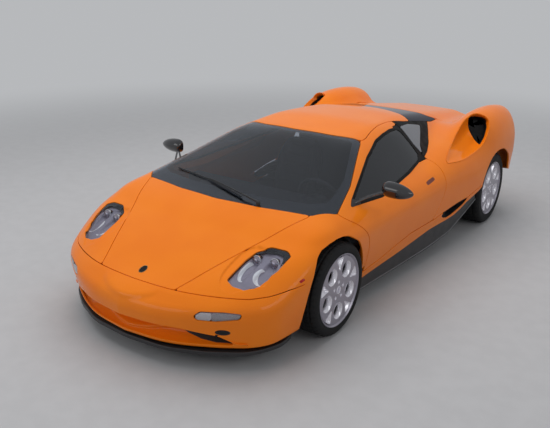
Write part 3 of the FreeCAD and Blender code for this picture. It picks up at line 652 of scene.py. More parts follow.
def cut_patch(patch: Patch, cuts: Sequence[Cut], inset: float, columns: slice | None = None
              ) -> tuple[Array, Array, Array, Array]:
    """The part of a patch inside all cuts: points, normals, triangles and ways out at the points.

    Triangles that cross the edge are clipped, and each point on the edge is found by repeated
    interpolation on the surface itself.

    Args:
        cuts: what bounds the part.
        inset: how far inside the cuts its edge lies.
        columns: the patch's columns it is taken from.
    """
    points, normals = patch.grid()
    columns = columns or slice(0, patch.columns)
    first = columns.start
    points, normals = points[:, columns], normals[:, columns]
    rows, count = points.shape[:2]
    fields = [tuple(part[:, columns] for part in patch.field(cut)) for cut in cuts]
    value, way = region(fields, normals)
    value = value.ravel() - inset
    index = np.arange(rows * count).reshape(rows, count)
    cells = (index[:-1, :-1].ravel(), index[1:, :-1].ravel(), index[1:, 1:].ravel(), index[:-1, 1:].ravel())
    # which way round the cells run, seen from outside
    flat, n = points.reshape(-1, 3), normals.reshape(-1, 3)
    middle = np.argmax(value)
    cell = min(middle, rows * count - count - 2)
    spin = np.cross(flat[cell + count] - flat[cell], flat[cell + 1] - flat[cell]) @ n[cell]
    faces = quads(*cells) if spin > 0 else quads(*cells[::-1])
    inside = value > 0
    kept = inside[faces]
    number = kept.sum(1)
    whole = faces[number == 3]
    # triangles that the edge crosses
    parts = faces[(number == 1) | (number == 2)]
    kept = inside[parts]
    # turn each so that the odd corner out comes first
    lone = np.where(kept.sum(1) == 1, kept.argmax(1), (~kept).argmax(1))
    turn = (lone[:, None] + np.arange(3)) % 3
    parts = np.take_along_axis(parts, turn, 1)
    single = inside[parts[:, 0]]
    edges = np.concatenate((parts[:, (0, 1)], parts[:, (0, 2)]))
    inner = np.where(inside[edges[:, 0]], edges[:, 0], edges[:, 1])
    outer = np.where(inside[edges[:, 0]], edges[:, 1], edges[:, 0])
    pairs, back = np.unique(np.stack((inner, outer), 1), axis=0, return_inverse=True)
    back = back.ravel()
    places = np.stack(np.divmod(pairs, count), -1).astype(float)
    places[..., 1] += first
    edge_points, edge_normals, edge_way = find_edge(patch, cuts, inset, places, value[pairs])
    made = len(flat) + back
    half = len(parts)
    one, two = made[:half], made[half:]
    tip = np.stack((parts[:, 0], one, two), 1)[single]
    open_ = ~single
    rest = quads(one[open_], parts[open_, 1], parts[open_, 2], two[open_])
    faces = np.concatenate((whole, tip, rest))
    points = np.concatenate((flat, edge_points))
    normals = np.concatenate((n, edge_normals))
    ways = np.concatenate((way.reshape(-1, 3), edge_way))
    used, faces = np.unique(faces, return_inverse=True)
    return points[used], normals[used], faces.reshape(-1, 3), ways[used]


def rim_edges(faces: Array, count: int) -> Array:
    """Edges that only one triangle uses, each running as its triangle runs."""
    edges = np.concatenate((faces[:, (0, 1)], faces[:, (1, 2)], faces[:, (2, 0)]))
    key = np.sort(edges, 1) @ np.array((count, 1))
    _, place, times = np.unique(key, return_index=True, return_counts=True)
    return edges[place[times == 1]]


def shell(points: Array, normals: Array, faces: Array, ways: Array, thickness: Array | float,
          roll: float, lift: float = 0.0) -> Mesh:
    """A closed shell over an open surface: rolled edge, flange and inner face.

    Args:
        ways: direction in the surface that leads out over the edge, at each point.
        thickness: from the outer face to the inner one, at each point or everywhere.
        roll: radius of the edge.
        lift: how far the whole shell stands off the given surface.

    Returns:
        The closed mesh.
    """
    count = len(points)
    depth = np.broadcast_to(np.asarray(thickness, dtype=float), (count,))[:, None]
    outer = points + normals * lift
    inner = outer - normals * depth
    edges = rim_edges(faces, count)
    rim = np.unique(edges)
    place = np.zeros(count, dtype=int)
    place[rim] = np.arange(len(rim))
    start, end = place[edges[:, 0]], place[edges[:, 1]]
    p, n, w = outer[rim], normals[rim], ways[rim]
    w = unit(w - n * np.sum(w * n, -1, keepdims=True))
    angles = np.radians(ROLL_ANGLES)
    rings = [p + w * roll * math.sin(a) - n * roll * (1 - math.cos(a)) for a in angles]
    ring_normals = [n] + [n * math.cos(a) + w * math.sin(a) for a in angles]
    rings.append(p + w * roll - n * depth[rim])
    ring_normals.append(w)
    all_points = [outer, inner] + rings
    starts = np.cumsum([0] + [len(part) for part in all_points[:-1]])
    all_faces = [faces, faces[:, ::-1] + count]
    all_normals = [normals[faces], -normals[faces[:, ::-1]]]
    upper = edges
    for k in range(len(rings)):
        below = np.stack((start, end), 1) + starts[k + 2]
        strip = quads(upper[:, 1], upper[:, 0], below[:, 0], below[:, 1])
        na, nb = ring_normals[k], ring_normals[k + 1]
        if k == len(rings) - 1:
            na = nb
        all_faces.append(strip)
        all_normals.append(quad_normals(na[end], na[start], nb[start], nb[end]))
        upper = below
    base = edges + count
    all_faces.append(quads(upper[:, 1], upper[:, 0], base[:, 0], base[:, 1]))
    all_normals.append(quad_normals(-n[end], -n[start], -n[start], -n[end]))
    return Mesh(np.concatenate(all_points), np.concatenate(all_faces), np.concatenate(all_normals))


def lathe(section: Rows, around: int = 96, sharp: float = 40.0) -> Mesh:
    """A solid of revolution about +X from a section of (radius, place along the axis).

    Corners that turn by more than sharp degrees stay crisp; gentler ones shade smoothly.
    """
    s = np.array(section)
    count = len(s)
    run = np.roll(s, -1, axis=0) - s
    # the section runs so that its left-hand side is the outside
    after = unit(np.stack((-run[:, 1], run[:, 0]), -1))
    before = np.roll(after, 1, axis=0)
    soft = np.einsum("ij,ij->i", before, after) > math.cos(math.radians(sharp))
    mean = unit(before + after)
    start_normal = np.where(soft[:, None], mean, after)
    nxt = (np.arange(count) + 1) % count
    end_normal = np.where(soft[nxt][:, None], mean[nxt], before[nxt])
    turn = once_round(around)
    circle = np.stack((np.cos(turn), np.sin(turn)), -1)
    points = np.concatenate((np.broadcast_to(s[:, 1][:, None, None], (count, around, 1)),
                             s[:, 0][:, None, None] * circle[None]), -1).reshape(-1, 3)

    def spun(normal: Array, step: Array) -> Array:
        """A section normal turned to its place on the circle."""
        c = circle[step]
        return np.concatenate((normal[:, 1][:, None], normal[:, 0][:, None] * c), -1)

    i = np.repeat(np.arange(count), around)
    j = np.tile(np.arange(around), count)
    k = (j + 1) % around
    a, b = i * around + j, nxt[i] * around + j
    c, d = nxt[i] * around + k, i * around + k
    na, nb = spun(start_normal[i], j), spun(end_normal[i], j)
    nc, nd = spun(end_normal[i], k), spun(start_normal[i], k)
    faces, normals = quads(a, b, c, d), quad_normals(na, nb, nc, nd)
    spin = spins(points, faces)
    wrong = np.einsum("ij,ij->i", spin, normals.mean(1)) < 0
    faces[wrong] = faces[wrong][:, ::-1]
    normals[wrong] = normals[wrong][:, ::-1]
    size = np.linalg.norm(spin, axis=1)
    solid = size > TINY
    return Mesh(points, faces[solid], normals[solid])


def tube(path: Array, radius: Array | float, around: int = 12, closed: bool = False) -> Mesh:
    """A round bar along a path, its two ends closed by a small dome."""
    path = np.asarray(path, dtype=float)
    count = len(path)
    if closed:
        ahead = unit(np.roll(path, -1, axis=0) - np.roll(path, 1, axis=0))
    else:
        ahead = unit(np.gradient(path, axis=0))
    hint = Z if abs(ahead[:, 2]).max() < 0.9 else X
    side = unit(np.cross(ahead, hint))
    up = np.cross(side, ahead)
    radius = np.broadcast_to(np.asarray(radius, dtype=float), (count,)).copy()
    turn = once_round(around)
    out = side[:, None] * np.cos(turn)[None, :, None] + up[:, None] * np.sin(turn)[None, :, None]
    points = path[:, None] + out * radius[:, None, None]
    normals = out
    if not closed:
        first = [(path[0] - ahead[0] * radius[0] * math.sin(a) + out[0] * radius[0] * math.cos(a),
                  unit(out[0] * math.cos(a) - ahead[0] * math.sin(a))) for a in (1.5, 1.0, 0.5)]
        last = [(path[-1] + ahead[-1] * radius[-1] * math.sin(a) + out[-1] * radius[-1] * math.cos(a),
                 unit(out[-1] * math.cos(a) + ahead[-1] * math.sin(a))) for a in (0.5, 1.0, 1.5)]
        points = np.concatenate([[q[0] for q in first], points, [q[0] for q in last]])
        normals = np.concatenate([[q[1] for q in first], normals, [q[1] for q in last]])
    return ring_mesh(points, normals, around_closed=True, along_closed=closed)


def ring_mesh(points: Array, normals: Array, around_closed: bool = True, along_closed: bool = False) -> Mesh:
    """A mesh over a grid of points whose ends are capped where they are open.

    Args:
        points: the grid (along, around, 3).
        normals: the normals there.
        around_closed: whether the last column meets the first.
        along_closed: whether the last row meets the first.

    Returns:
        The mesh, its triangles turned towards its normals.
    """
    rows, count = points.shape[:2]
    index = np.arange(rows * count).reshape(rows, count)
    a = index if along_closed else index[:-1]
    b = np.roll(index, -1, axis=0) if along_closed else index[1:]
    if around_closed:
        a2, b2 = np.roll(a, -1, axis=1), np.roll(b, -1, axis=1)
    else:
        a, b, a2, b2 = a[:, :-1], b[:, :-1], a[:, 1:], b[:, 1:]
    faces = quads(a.ravel(), b.ravel(), b2.ravel(), a2.ravel())
    flat, n = points.reshape(-1, 3), normals.reshape(-1, 3)
    if around_closed and not along_closed:
        caps = []
        for ring, reverse in ((index[0], False), (index[-1], True)):
            fan = np.stack((np.repeat(ring[0], count - 2), ring[1:-1], ring[2:]), 1)
            caps.append(fan[:, ::-1] if reverse else fan)
        faces = np.concatenate([faces] + caps)
    if np.sum(spins(flat, faces) * n[faces].mean(1)) < 0:
        faces = faces[:, ::-1].copy()
    return Mesh(flat, faces, n[faces])


def across_loops(points: Array, along_closed: bool = False) -> Array:
    """Normals of a grid of closed rings (along, around), towards one side or the other."""
    along = np.roll(points, -1, 0) - np.roll(points, 1, 0) if along_closed else np.gradient(points, axis=0)
    return unit(np.cross(along, np.roll(points, -1, 1) - np.roll(points, 1, 1)))


def funnel(rings: Sequence[Array], wall: float = 3 * MM) -> Mesh:
    """A duct's closed wall, seen from within, through loops of as many points each."""
    inner = np.stack(rings)
    centre = inner.mean(1, keepdims=True)
    out = across_loops(inner)
    flip = np.sign(np.sum(out * (inner - centre), -1).sum(-1))
    out = out * np.where(flip == 0, 1.0, flip)[:, None, None]
    outer = inner + out * wall
    loop = np.concatenate((inner, outer[::-1]))
    facing = np.concatenate((-out, out[::-1]))
    return ring_mesh(loop, facing, along_closed=True)


def wrapped(points: Array, along_closed: bool = False) -> Mesh:
    """A mesh over closed rings (along, around) whose faces look away from each ring's middle."""
    n = across_loops(points, along_closed)
    if np.sum(n * (points - points.mean(1, keepdims=True))) < 0:
        n = -n
    return ring_mesh(points, n, along_closed=along_closed)


def pocket(mouth: Array, inward: Array, depth: float, shrink: float, wall: float = 2 * MM) -> Mesh:
    """A closed cup behind a mouth loop: walls that close in, a flat floor and a back.

    Args:
        mouth: the loop's points.
        inward: the direction the cup runs in.
        depth: from the mouth to the floor.
        shrink: the floor's size as a share of the mouth's.
        wall: the cup's thickness.

    Returns:
        The closed mesh.
    """
    centre = mouth.mean(0)
    # columns: the loop's share of the mouth's size, and of the depth
    inner = ((1.0, 0.0), (0.6 + 0.4 * shrink, 0.45), (shrink, 0.9), (shrink * 0.93, 1.0), (shrink * 0.5, 1.0),
             (0.01, 1.0))
    size = np.linalg.norm(mouth - centre, axis=1).mean()
    rows = [(k, d * depth) for k, d in inner]
    rows += [(k + (wall / size if k > 0.1 else 0.0), d + wall) for k, d in reversed(rows[1:])]
    rows += [(1.0 + wall / size, wall)]
    loops = np.stack([centre + (mouth - centre) * k + inward * d for k, d in rows])
    n = across_loops(loops, along_closed=True)
    if np.sum(n[-1] * (loops[-1] - centre)) < 0:
        n = -n
    return ring_mesh(loops, n, along_closed=True)


def slab(rows: Array, thickness: float) -> Mesh:
    """A closed sheet of even thickness over a grid of points, with crisp edges."""
    along = np.gradient(rows, axis=0)
    across = np.gradient(rows, axis=1)
    n = unit(np.cross(along, across))
    low = rows - n * thickness
    top = ring_mesh(rows, n, around_closed=False)
    bottom = ring_mesh(low, -n, around_closed=False)
    sides = []
    for a, b in ((rows[0], low[0]), (rows[-1], low[-1]), (rows[:, 0], low[:, 0]), (rows[:, -1], low[:, -1])):
        strip = np.stack((a, b))
        centre = rows.reshape(-1, 3).mean(0)
        out = unit(np.cross(np.gradient(a, axis=0), b - a))
        out = out * np.sign(np.sum(out * (a - centre), -1, keepdims=True) + TINY)
        sides.append(ring_mesh(strip, np.stack((out, out)), around_closed=False))
    return Mesh.joined([top, bottom] + sides)


def block(low: Sequence[float], high: Sequence[float], radius: float = 4 * MM, steps: int = 3) -> Mesh:
    """A box whose edges and corners are rounded.

    A point is the corner of an inner box plus the radius along the point's own direction, which
    turns from 45 degrees off a face at one end of it to 45 degrees at the other.
    """
    low, high = np.asarray(low, dtype=float), np.asarray(high, dtype=float)
    half = (high - low) / 2
    radius = float(min(radius, half.min() * 0.98))
    angle = np.concatenate((np.linspace(-math.pi / 4, 0, steps + 1), np.linspace(0, math.pi / 4, steps + 1)))
    end = np.repeat((-1.0, 1.0), steps + 1)
    a, b = np.meshgrid(np.tan(angle), np.tan(angle), indexing="ij")
    ends = np.meshgrid(end, end, indexing="ij")
    meshes = []
    for axis in range(3):
        i, j = (axis + 1) % 3, (axis + 2) % 3
        for sign in (1.0, -1.0):
            direction = np.zeros(a.shape + (3,))
            core = np.zeros(a.shape + (3,))
            direction[..., axis], direction[..., i], direction[..., j] = sign, a, b
            core[..., axis] = sign * (half[axis] - radius)
            core[..., i] = ends[0] * (half[i] - radius)
            core[..., j] = ends[1] * (half[j] - radius)
            direction = unit(direction)
            meshes.append(ring_mesh((low + high) / 2 + core + direction * radius, direction,
                                    around_closed=False))
    return Mesh.joined(meshes)


# ------------------------------------------------------------------ finishes
class Wire:
    """A shader socket that arithmetic works on; each operation adds a node."""

    def __init__(self, graph: "Graph", socket: bpy.types.NodeSocket) -> None:
        """Wraps an output socket of one of the graph's nodes."""
        self.graph = graph
        self.socket = socket

    def _math(self, kind: str, a: "Wire | float", b: "Wire | float" = 0.0) -> "Wire":
        """A new node that works on one or two values."""
        return self.graph.node("ShaderNodeMath", {0: a, 1: b}, operation=kind)

    def __add__(self, other: "Wire | float") -> "Wire":
        """This plus another."""
        return self._math("ADD", self, other)

    def __sub__(self, other: "Wire | float") -> "Wire":
        """This less another."""
        return self._math("SUBTRACT", self, other)

    def __mul__(self, other: "Wire | float") -> "Wire":
        """This times another."""
        return self._math("MULTIPLY", self, other)

    def __pow__(self, other: "Wire | float") -> "Wire":
        """This to a power."""
        return self._math("POWER", self, other)

    def wave(self) -> "Wire":
        """The sine of this."""
        return self._math("SINE", self)

    def band(self, low: float, high: float, to_low: float = 0.0, to_high: float = 1.0) -> "Wire":
        """This mapped from low..high to another range, clamped, with soft ends."""
        return self.graph.node("ShaderNodeMapRange", {"Value": self, "From Min": low, "From Max": high,
                                                      "To Min": to_low, "To Max": to_high},
                               interpolation_type="SMOOTHSTEP")


class Graph:
    """The node tree of one material, or of the world."""

    def __init__(self, name: str, world: bool = False) -> None:
        """An empty tree with its output."""
        self.owner = (bpy.data.worlds if world else bpy.data.materials).new(name)
        self.owner.use_nodes = True
        self.tree = self.owner.node_tree
        self.tree.nodes.clear()
        self.output = self.tree.nodes.new("ShaderNodeOutputWorld" if world else "ShaderNodeOutputMaterial")

    def node(self, kind: str, inputs: dict | None = None, output: int | str = 0, **settings) -> Wire:
        """Adds any node, sets or links its inputs and returns one of its outputs."""
        made = self.tree.nodes.new(kind)
        for key, value in settings.items():
            setattr(made, key, value)
        for key, value in (inputs or {}).items():
            if isinstance(value, Wire):
                self.tree.links.new(value.socket, made.inputs[key])
            elif isinstance(value, tuple) and len(value) == 3 and made.inputs[key].type == "RGBA":
                made.inputs[key].default_value = (*value, 1.0)
            else:
                made.inputs[key].default_value = value
        return Wire(self, made.outputs[output])

    def place(self) -> Wire:
        """Where a point is on the object, in metres."""
        return self.node("ShaderNodeTexCoord", output="Object")

    def axis(self, which: str) -> Wire:
        """One coordinate of the object's own place."""
        return self.node("ShaderNodeSeparateXYZ", {0: self.place()}, which)

    def noise(self, scale: float, detail: float = 3.0, rough: float = 0.5) -> Wire:
        """Fractal noise, 0 to 1 about 0.5, scale features a metre."""
        return self.node("ShaderNodeTexNoise", {"Vector": self.place(), "Scale": scale, "Detail": detail,
                                                "Roughness": rough}, "Fac")

    def cells(self, scale: float) -> Wire:
        """The distance to the nearest cell's middle, scale cells a metre."""
        return self.node("ShaderNodeTexVoronoi", {"Vector": self.place(), "Scale": scale}, "Distance")

    def mix(self, share: Wire | float, a: Colour | Wire, b: Colour | Wire) -> Wire:
        """Two colours mixed."""
        made = self.tree.nodes.new("ShaderNodeMix")
        made.data_type = "RGBA"
        for socket, value in ((made.inputs[0], share), (made.inputs[6], a), (made.inputs[7], b)):
            if isinstance(value, Wire):
                self.tree.links.new(value.socket, socket)
            else:
                socket.default_value = (*value, 1.0) if isinstance(value, tuple) else value
        return Wire(self, made.outputs[2])

    def relief(self, height: Wire, depth: float) -> Wire:
        """A bump from a height of 0..1, depth in metres."""
        return self.node("ShaderNodeBump", {"Height": height, "Distance": depth}, "Normal")

    def surface(self, **inputs) -> Wire:
        """A principled shader; an underscore in a name stands for a space."""
        named = {key.replace("_", " "): value for key, value in inputs.items()}
        return self.node("ShaderNodeBsdfPrincipled", named)

    def finish(self, shader: Wire) -> bpy.types.ID:
        """Links the shader to the output and returns the material or world."""
        self.tree.links.new(shader.socket, self.output.inputs[0])
        return self.owner


@dataclass(frozen=True)
class Paint:
    """Clear-coated body colour with a fine flake."""

    name: str = "paint_orange"
    deep: Colour = (0.90, 0.205, 0.003)
    light: Colour = (0.93, 0.225, 0.004)

    def build(self) -> bpy.types.Material:
        """A base that varies a little with a cloudy noise, under a glossy coat."""
        g = Graph(self.name)
        flake = g.cells(2600.0)
        cloud = g.noise(3.0, 2.0)
        colour = g.mix(cloud.band(0.3, 0.7), self.deep, self.light)
        return g.finish(g.surface(Base_Color=colour, Metallic=0.0, Roughness=flake.band(0.0, 0.7, 0.42, 0.55),
                                  Specular_IOR_Level=0.15, Coat_Weight=0.6, Coat_Roughness=0.035,
                                  Coat_IOR=1.34))


@dataclass(frozen=True)
class Glass:
    """Tinted glass: a mirror-like surface over a darkened view through."""

    name: str
    tint: Colour
    roughness: float = 0.015
    bare: float = 0.05      # the share of reflection that is there at every angle
    sheen: Colour = (0.90, 0.92, 0.95)
    metallic: float = 1.0

    def build(self) -> bpy.types.Material:
        """A transparent tint that gives way to a glossy surface as the view slants."""
        g = Graph(self.name)
        through = g.node("ShaderNodeBsdfTransparent", {"Color": self.tint})
        dust = g.noise(60.0, 4.0).band(0.45, 0.75, self.roughness, self.roughness * 2.5)
        skin = g.surface(Base_Color=self.sheen, Roughness=dust, Metallic=self.metallic)
        slant = g.node("ShaderNodeLayerWeight", {"Blend": 0.5}, "Facing") ** 5.0
        return g.finish(g.node("ShaderNodeMixShader", {0: slant * (1 - self.bare) + self.bare, 1: through,
                                                       2: skin}))


@dataclass(frozen=True)
class Solid:
    """A moulded or cast finish: one colour with a grain, patches of wear and its own roughness."""

    name: str
    colour: Colour
    roughness: float
    metallic: float = 0.0
    coat: float = 0.0
    grain: float = 900.0
    depth: float = 0.05 * MM
    spread: float = 0.12
    specular: float = 0.5

    def build(self) -> bpy.types.Material:
        """Cloudy colour and roughness over a fine grain in relief."""
        g = Graph(self.name)
        cloud = g.noise(14.0, 4.0)
        dark = tuple(c * (1 - self.spread) for c in self.colour)
        light = tuple(min(1.0, c * (1 + self.spread)) for c in self.colour)
        rough = cloud.band(0.3, 0.7, max(0.02, self.roughness * 0.85), min(1.0, self.roughness * 1.15))
        return g.finish(g.surface(Base_Color=g.mix(cloud.band(0.3, 0.7), dark, light), Roughness=rough,
                                  Specular_IOR_Level=self.specular,
                                  Metallic=self.metallic, Coat_Weight=self.coat, Coat_Roughness=0.05,
                                  Normal=g.relief(g.noise(self.grain, 3.0), self.depth)))


@dataclass(frozen=True)
class Lens:
    """Clear or coloured plastic that light passes through."""

    name: str
    tint: Colour
    ribs: float = 0.0
    body: float = 0.04      # the share of light that the plastic itself scatters

    def build(self) -> bpy.types.Material:
        """Tinted see-through plastic, ribbed across where ribs (a metre) are asked for."""
        g = Graph(self.name)
        through = g.node("ShaderNodeBsdfTransparent", {"Color": self.tint})
        inputs = {"Base Color": tuple(0.8 * c for c in self.tint) if self.body else (0.02, 0.02, 0.02),
                  "Roughness": g.noise(40.0).band(0.4, 0.7, 0.02, 0.05)}
        if self.ribs:
            inputs["Normal"] = g.relief((g.axis("X") * (self.ribs * 2 * math.pi)).wave(), 0.6 * MM)
        slant = g.node("ShaderNodeLayerWeight", {"Blend": 0.5}, "Facing") ** 4.0
        share = slant * (0.94 - self.body) + self.body + 0.04
        return g.finish(g.node("ShaderNodeMixShader", {0: share, 1: through,
                                                       2: g.node("ShaderNodeBsdfPrincipled", inputs)}))


@dataclass(frozen=True)
class Leather:
    """Soft hide with pebbled grain and a slight sheen."""

    name: str
    colour: Colour

    def build(self) -> bpy.types.Material:
        """Cell-shaped pebbles over creases."""
        g = Graph(self.name)
        pebble = g.cells(420.0)
        crease = g.noise(30.0, 5.0, 0.6)
        dark = tuple(c * 0.7 for c in self.colour)
        return g.finish(g.surface(Base_Color=g.mix(pebble.band(0.0, 0.6), self.colour, dark),
                                  Roughness=crease.band(0.3, 0.7, 0.42, 0.6),
                                  Normal=g.relief(pebble * 0.8 + crease * 0.6, 0.25 * MM)))


@dataclass(frozen=True)
class Rubber:
    """Tyre rubber: near black and dull."""

    name: str = "rubber_tyre"

    def build(self) -> bpy.types.Material:
        """Cloudy patches of colour and roughness, over a fine grain in relief."""
        g = Graph(self.name)
        grain = g.noise(700.0, 3.0)
        dust = g.noise(9.0, 5.0, 0.65)
        colour = g.mix(dust.band(0.42, 0.75), (0.007, 0.007, 0.008), (0.015, 0.015, 0.014))
        return g.finish(g.surface(Base_Color=colour, Roughness=dust.band(0.3, 0.7, 0.62, 0.8),
                                  Specular_IOR_Level=0.25, Normal=g.relief(grain, 0.08 * MM)))


@dataclass(frozen=True)
class Turned:
    """Bare metal with fine circular machining about an axis through a point."""

    name: str
    colour: Colour
    centre: tuple[float, float]

    def build(self) -> bpy.types.Material:
        """Lines of equal radius about the axle, in roughness and relief."""
        g = Graph(self.name)
        y = g.axis("Y") - self.centre[0]
        z = g.axis("Z") - self.centre[1]
        radius = (y * y + z * z) ** 0.5
        line = (radius * 5200.0).wave() * 0.5 + 0.5
        return g.finish(g.surface(Base_Color=self.colour, Metallic=1.0,
                                  Roughness=line.band(0.0, 1.0, 0.22, 0.42),
                                  Normal=g.relief(line, 0.04 * MM)))


class Finishes:
    """Every material, made once and shared."""

    def __init__(self) -> None:
        """Builds them all."""
        plastic = (0.018, 0.018, 0.020)
        self.paint = Paint().build()
        self.glass = Glass("glass_dark", (0.66, 0.69, 0.74)).build()
        self.side_glass = Glass("glass_side", (0.26, 0.27, 0.30), bare=0.06).build()
        self.band_glass = Glass("glass_band", (0.01, 0.01, 0.02), bare=0.04, sheen=(0.36, 0.36, 0.46)).build()
        # the quarter glass: an opaque grey skin over at least 0.6 of it, a painted reflection
        grey = (0.30, 0.31, 0.34)
        self.pale_glass = Glass("glass_pale_painted_reflection", grey, bare=0.6, sheen=grey, metallic=0.0).build()
        self.reflector = Solid("lamp_reflector", (0.98, 0.98, 1.0), 0.3, spread=0.02,
                               depth=0.004 * MM).build()
        self.projector = Solid("lamp_projector", (0.30, 0.27, 0.33), 0.12, metallic=0.6, coat=1.0,
                               depth=0.002 * MM).build()
        self.cover = Lens("lens_clear", (0.93, 0.94, 0.96), body=0.0).build()
        self.ribbed = Lens("lens_ribbed", (0.85, 0.85, 0.87), 260.0, 0.2).build()
        self.pale_lens = Lens("lens_pale", (0.95, 0.95, 0.97), 120.0, 0.32).build()
        self.gilt = Solid("badge_rim", (0.55, 0.42, 0.20), 0.25, metallic=1.0, depth=0.01 * MM).build()
        self.red_lens = Lens("lens_red", (0.75, 0.02, 0.02), 180.0, 0.45).build()
        self.satin = Solid("plastic_satin", plastic, 0.42, grain=1400.0).build()
        self.frit = Solid("glass_frit", (0.008, 0.008, 0.009), 0.10, coat=1.0, depth=0.005 * MM).build()
        self.gloss = Solid("plastic_gloss", (0.010, 0.010, 0.013), 0.12, coat=1.0, depth=0.005 * MM).build()
        self.seal = Solid("rubber_seal", (0.006, 0.006, 0.006), 0.55, specular=0.12).build()
        self.coarse = Solid("plastic_coarse", (0.022, 0.022, 0.023), 0.72, grain=500.0,
                            depth=0.15 * MM).build()
        # one cast alloy in two copies: this darker one on the barrel and face is painted shade, and the far
        # lighter one on the cups, pockets, bolts and hub is painted light
        self.silver = Solid("wheel_silver", (0.36, 0.34, 0.40), 0.32, metallic=0.6, coat=0.3,
                            grain=900.0, depth=0.004 * MM, spread=0.04).build()
        self.bright_silver = Solid("wheel_cups_painted_light", (0.88, 0.86, 0.92), 0.22, metallic=0.5, coat=0.5,
                                   grain=900.0, depth=0.004 * MM, spread=0.03).build()
        self.chrome = Solid("metal_bright", (0.80, 0.80, 0.82), 0.08, metallic=1.0, depth=0.004 * MM,
                            spread=0.03).build()
        self.lamp_body = Solid("lamp_housing", (0.40, 0.37, 0.44), 0.38, metallic=0.3, grain=1200.0,
                               spread=0.06).build()
        self.steel = Solid("metal_cast", (0.20, 0.20, 0.21), 0.45, metallic=0.8, grain=350.0,
                           depth=0.2 * MM).build()
        self.caliper = Solid("metal_caliper", (0.035, 0.035, 0.04), 0.35, metallic=0.2, coat=0.5).build()
        self.exhaust = Solid("metal_exhaust", (0.55, 0.53, 0.50), 0.18, metallic=1.0, spread=0.2).build()
        self.leather = Leather("leather_black", (0.030, 0.028, 0.028)).build()
        self.carpet = Solid("carpet_dark", (0.018, 0.018, 0.019), 0.95, grain=1500.0, depth=1.2 * MM).build()
        self.rubber = Rubber().build()
        self.badge = Solid("badge_dark", (0.008, 0.008, 0.010), 0.45, specular=0.2).build()
        # painted highlight: a grey line for the glint along the black skirt's lower edge
        self.grey_line = Solid("skirt_painted_highlight", (0.22, 0.22, 0.23), 0.35, metallic=0.3).build()
        # painted shadow: the dark red of the door handle's recess
        self.deep_red = Solid("paint_shadow", (0.16, 0.018, 0.002), 0.5, coat=0.3).build()


# ------------------------------------------------------------------ placing pieces
class Workshop:
    """Turns meshes into Blender objects and ties them to the frame."""

    def __init__(self) -> None:
        """Makes the finishes and starts the counts."""
        self.finishes = Finishes()
        self.count = 0
        self.triangles = 0

    def piece(self, name: str, mesh: Mesh, material: bpy.types.Material, body: str = "chassis",
              slot: str | None = None, replaces: Sequence[str] = ()) -> bpy.types.Object:
        """One finished object at the origin.

        Args:
            name: the piece's own name.
            mesh: its shape, in the car's frame.
            material: its finish.
            body: the CAD body it moves with.
            slot: a material slot's name; not used.
            replaces: the CAD nodes it stands for.

        Returns:
            The object.
        """
        data = bpy.data.meshes.new(name)
        count = len(mesh.faces)
        data.vertices.add(len(mesh.points))
        data.vertices.foreach_set("co", mesh.points.astype(np.float32).ravel())
        data.loops.add(count * 3)
        data.loops.foreach_set("vertex_index", mesh.faces.astype(np.int32).ravel())
        data.polygons.add(count)
        data.polygons.foreach_set("loop_start", np.arange(0, count * 3, 3, dtype=np.int32))
        data.polygons.foreach_set("use_smooth", np.ones(count, dtype=bool))
        data.update(calc_edges=True)
        data.normals_split_custom_set(unit(mesh.normals).reshape(-1, 3).tolist())
        data.materials.append(material)
        made = bpy.data.objects.new(name, data)
        bpy.context.scene.collection.objects.link(made)
        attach(made, body)
        if replaces:
            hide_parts(*replaces)
        self.count += 1
        self.triangles += count
        log.info("%s: %d triangles", name, count)
        return made

    def pair(self, name: str, mesh: Mesh, material: bpy.types.Material, body: str = "chassis",
             slot: str | None = None, replaces: Sequence[str] = ()) -> None:
        """The piece on the left and its mirror image; "left" in body or node names becomes "right"."""
        for hand, shape in (("left", mesh), ("right", mesh.mirrored())):
            self.piece(f"{name}_{hand}", shape, material, body.replace("left", hand), slot,
                       [node.replace("left", hand) for node in replaces] if any("left" in n for n in replaces)
                       else (replaces if hand == "left" else ()))


# ------------------------------------------------------------------ the panels' outlines
SOFT = 0.5      # a corner radius so large that the whole run becomes one curve


def drawn(plane: Plane, rows: Rows, radius: float = SOFT, mirror: bool = False) -> Outline:
    """An outline from rows of two coordinates and, where a corner has its own, a radius."""
    return Outline(plane, [(*row, radius)[:3] for row in rows], mirror)


def turned(rows: Rows) -> list:
    """The rows from last to first."""
    return list(reversed(rows))


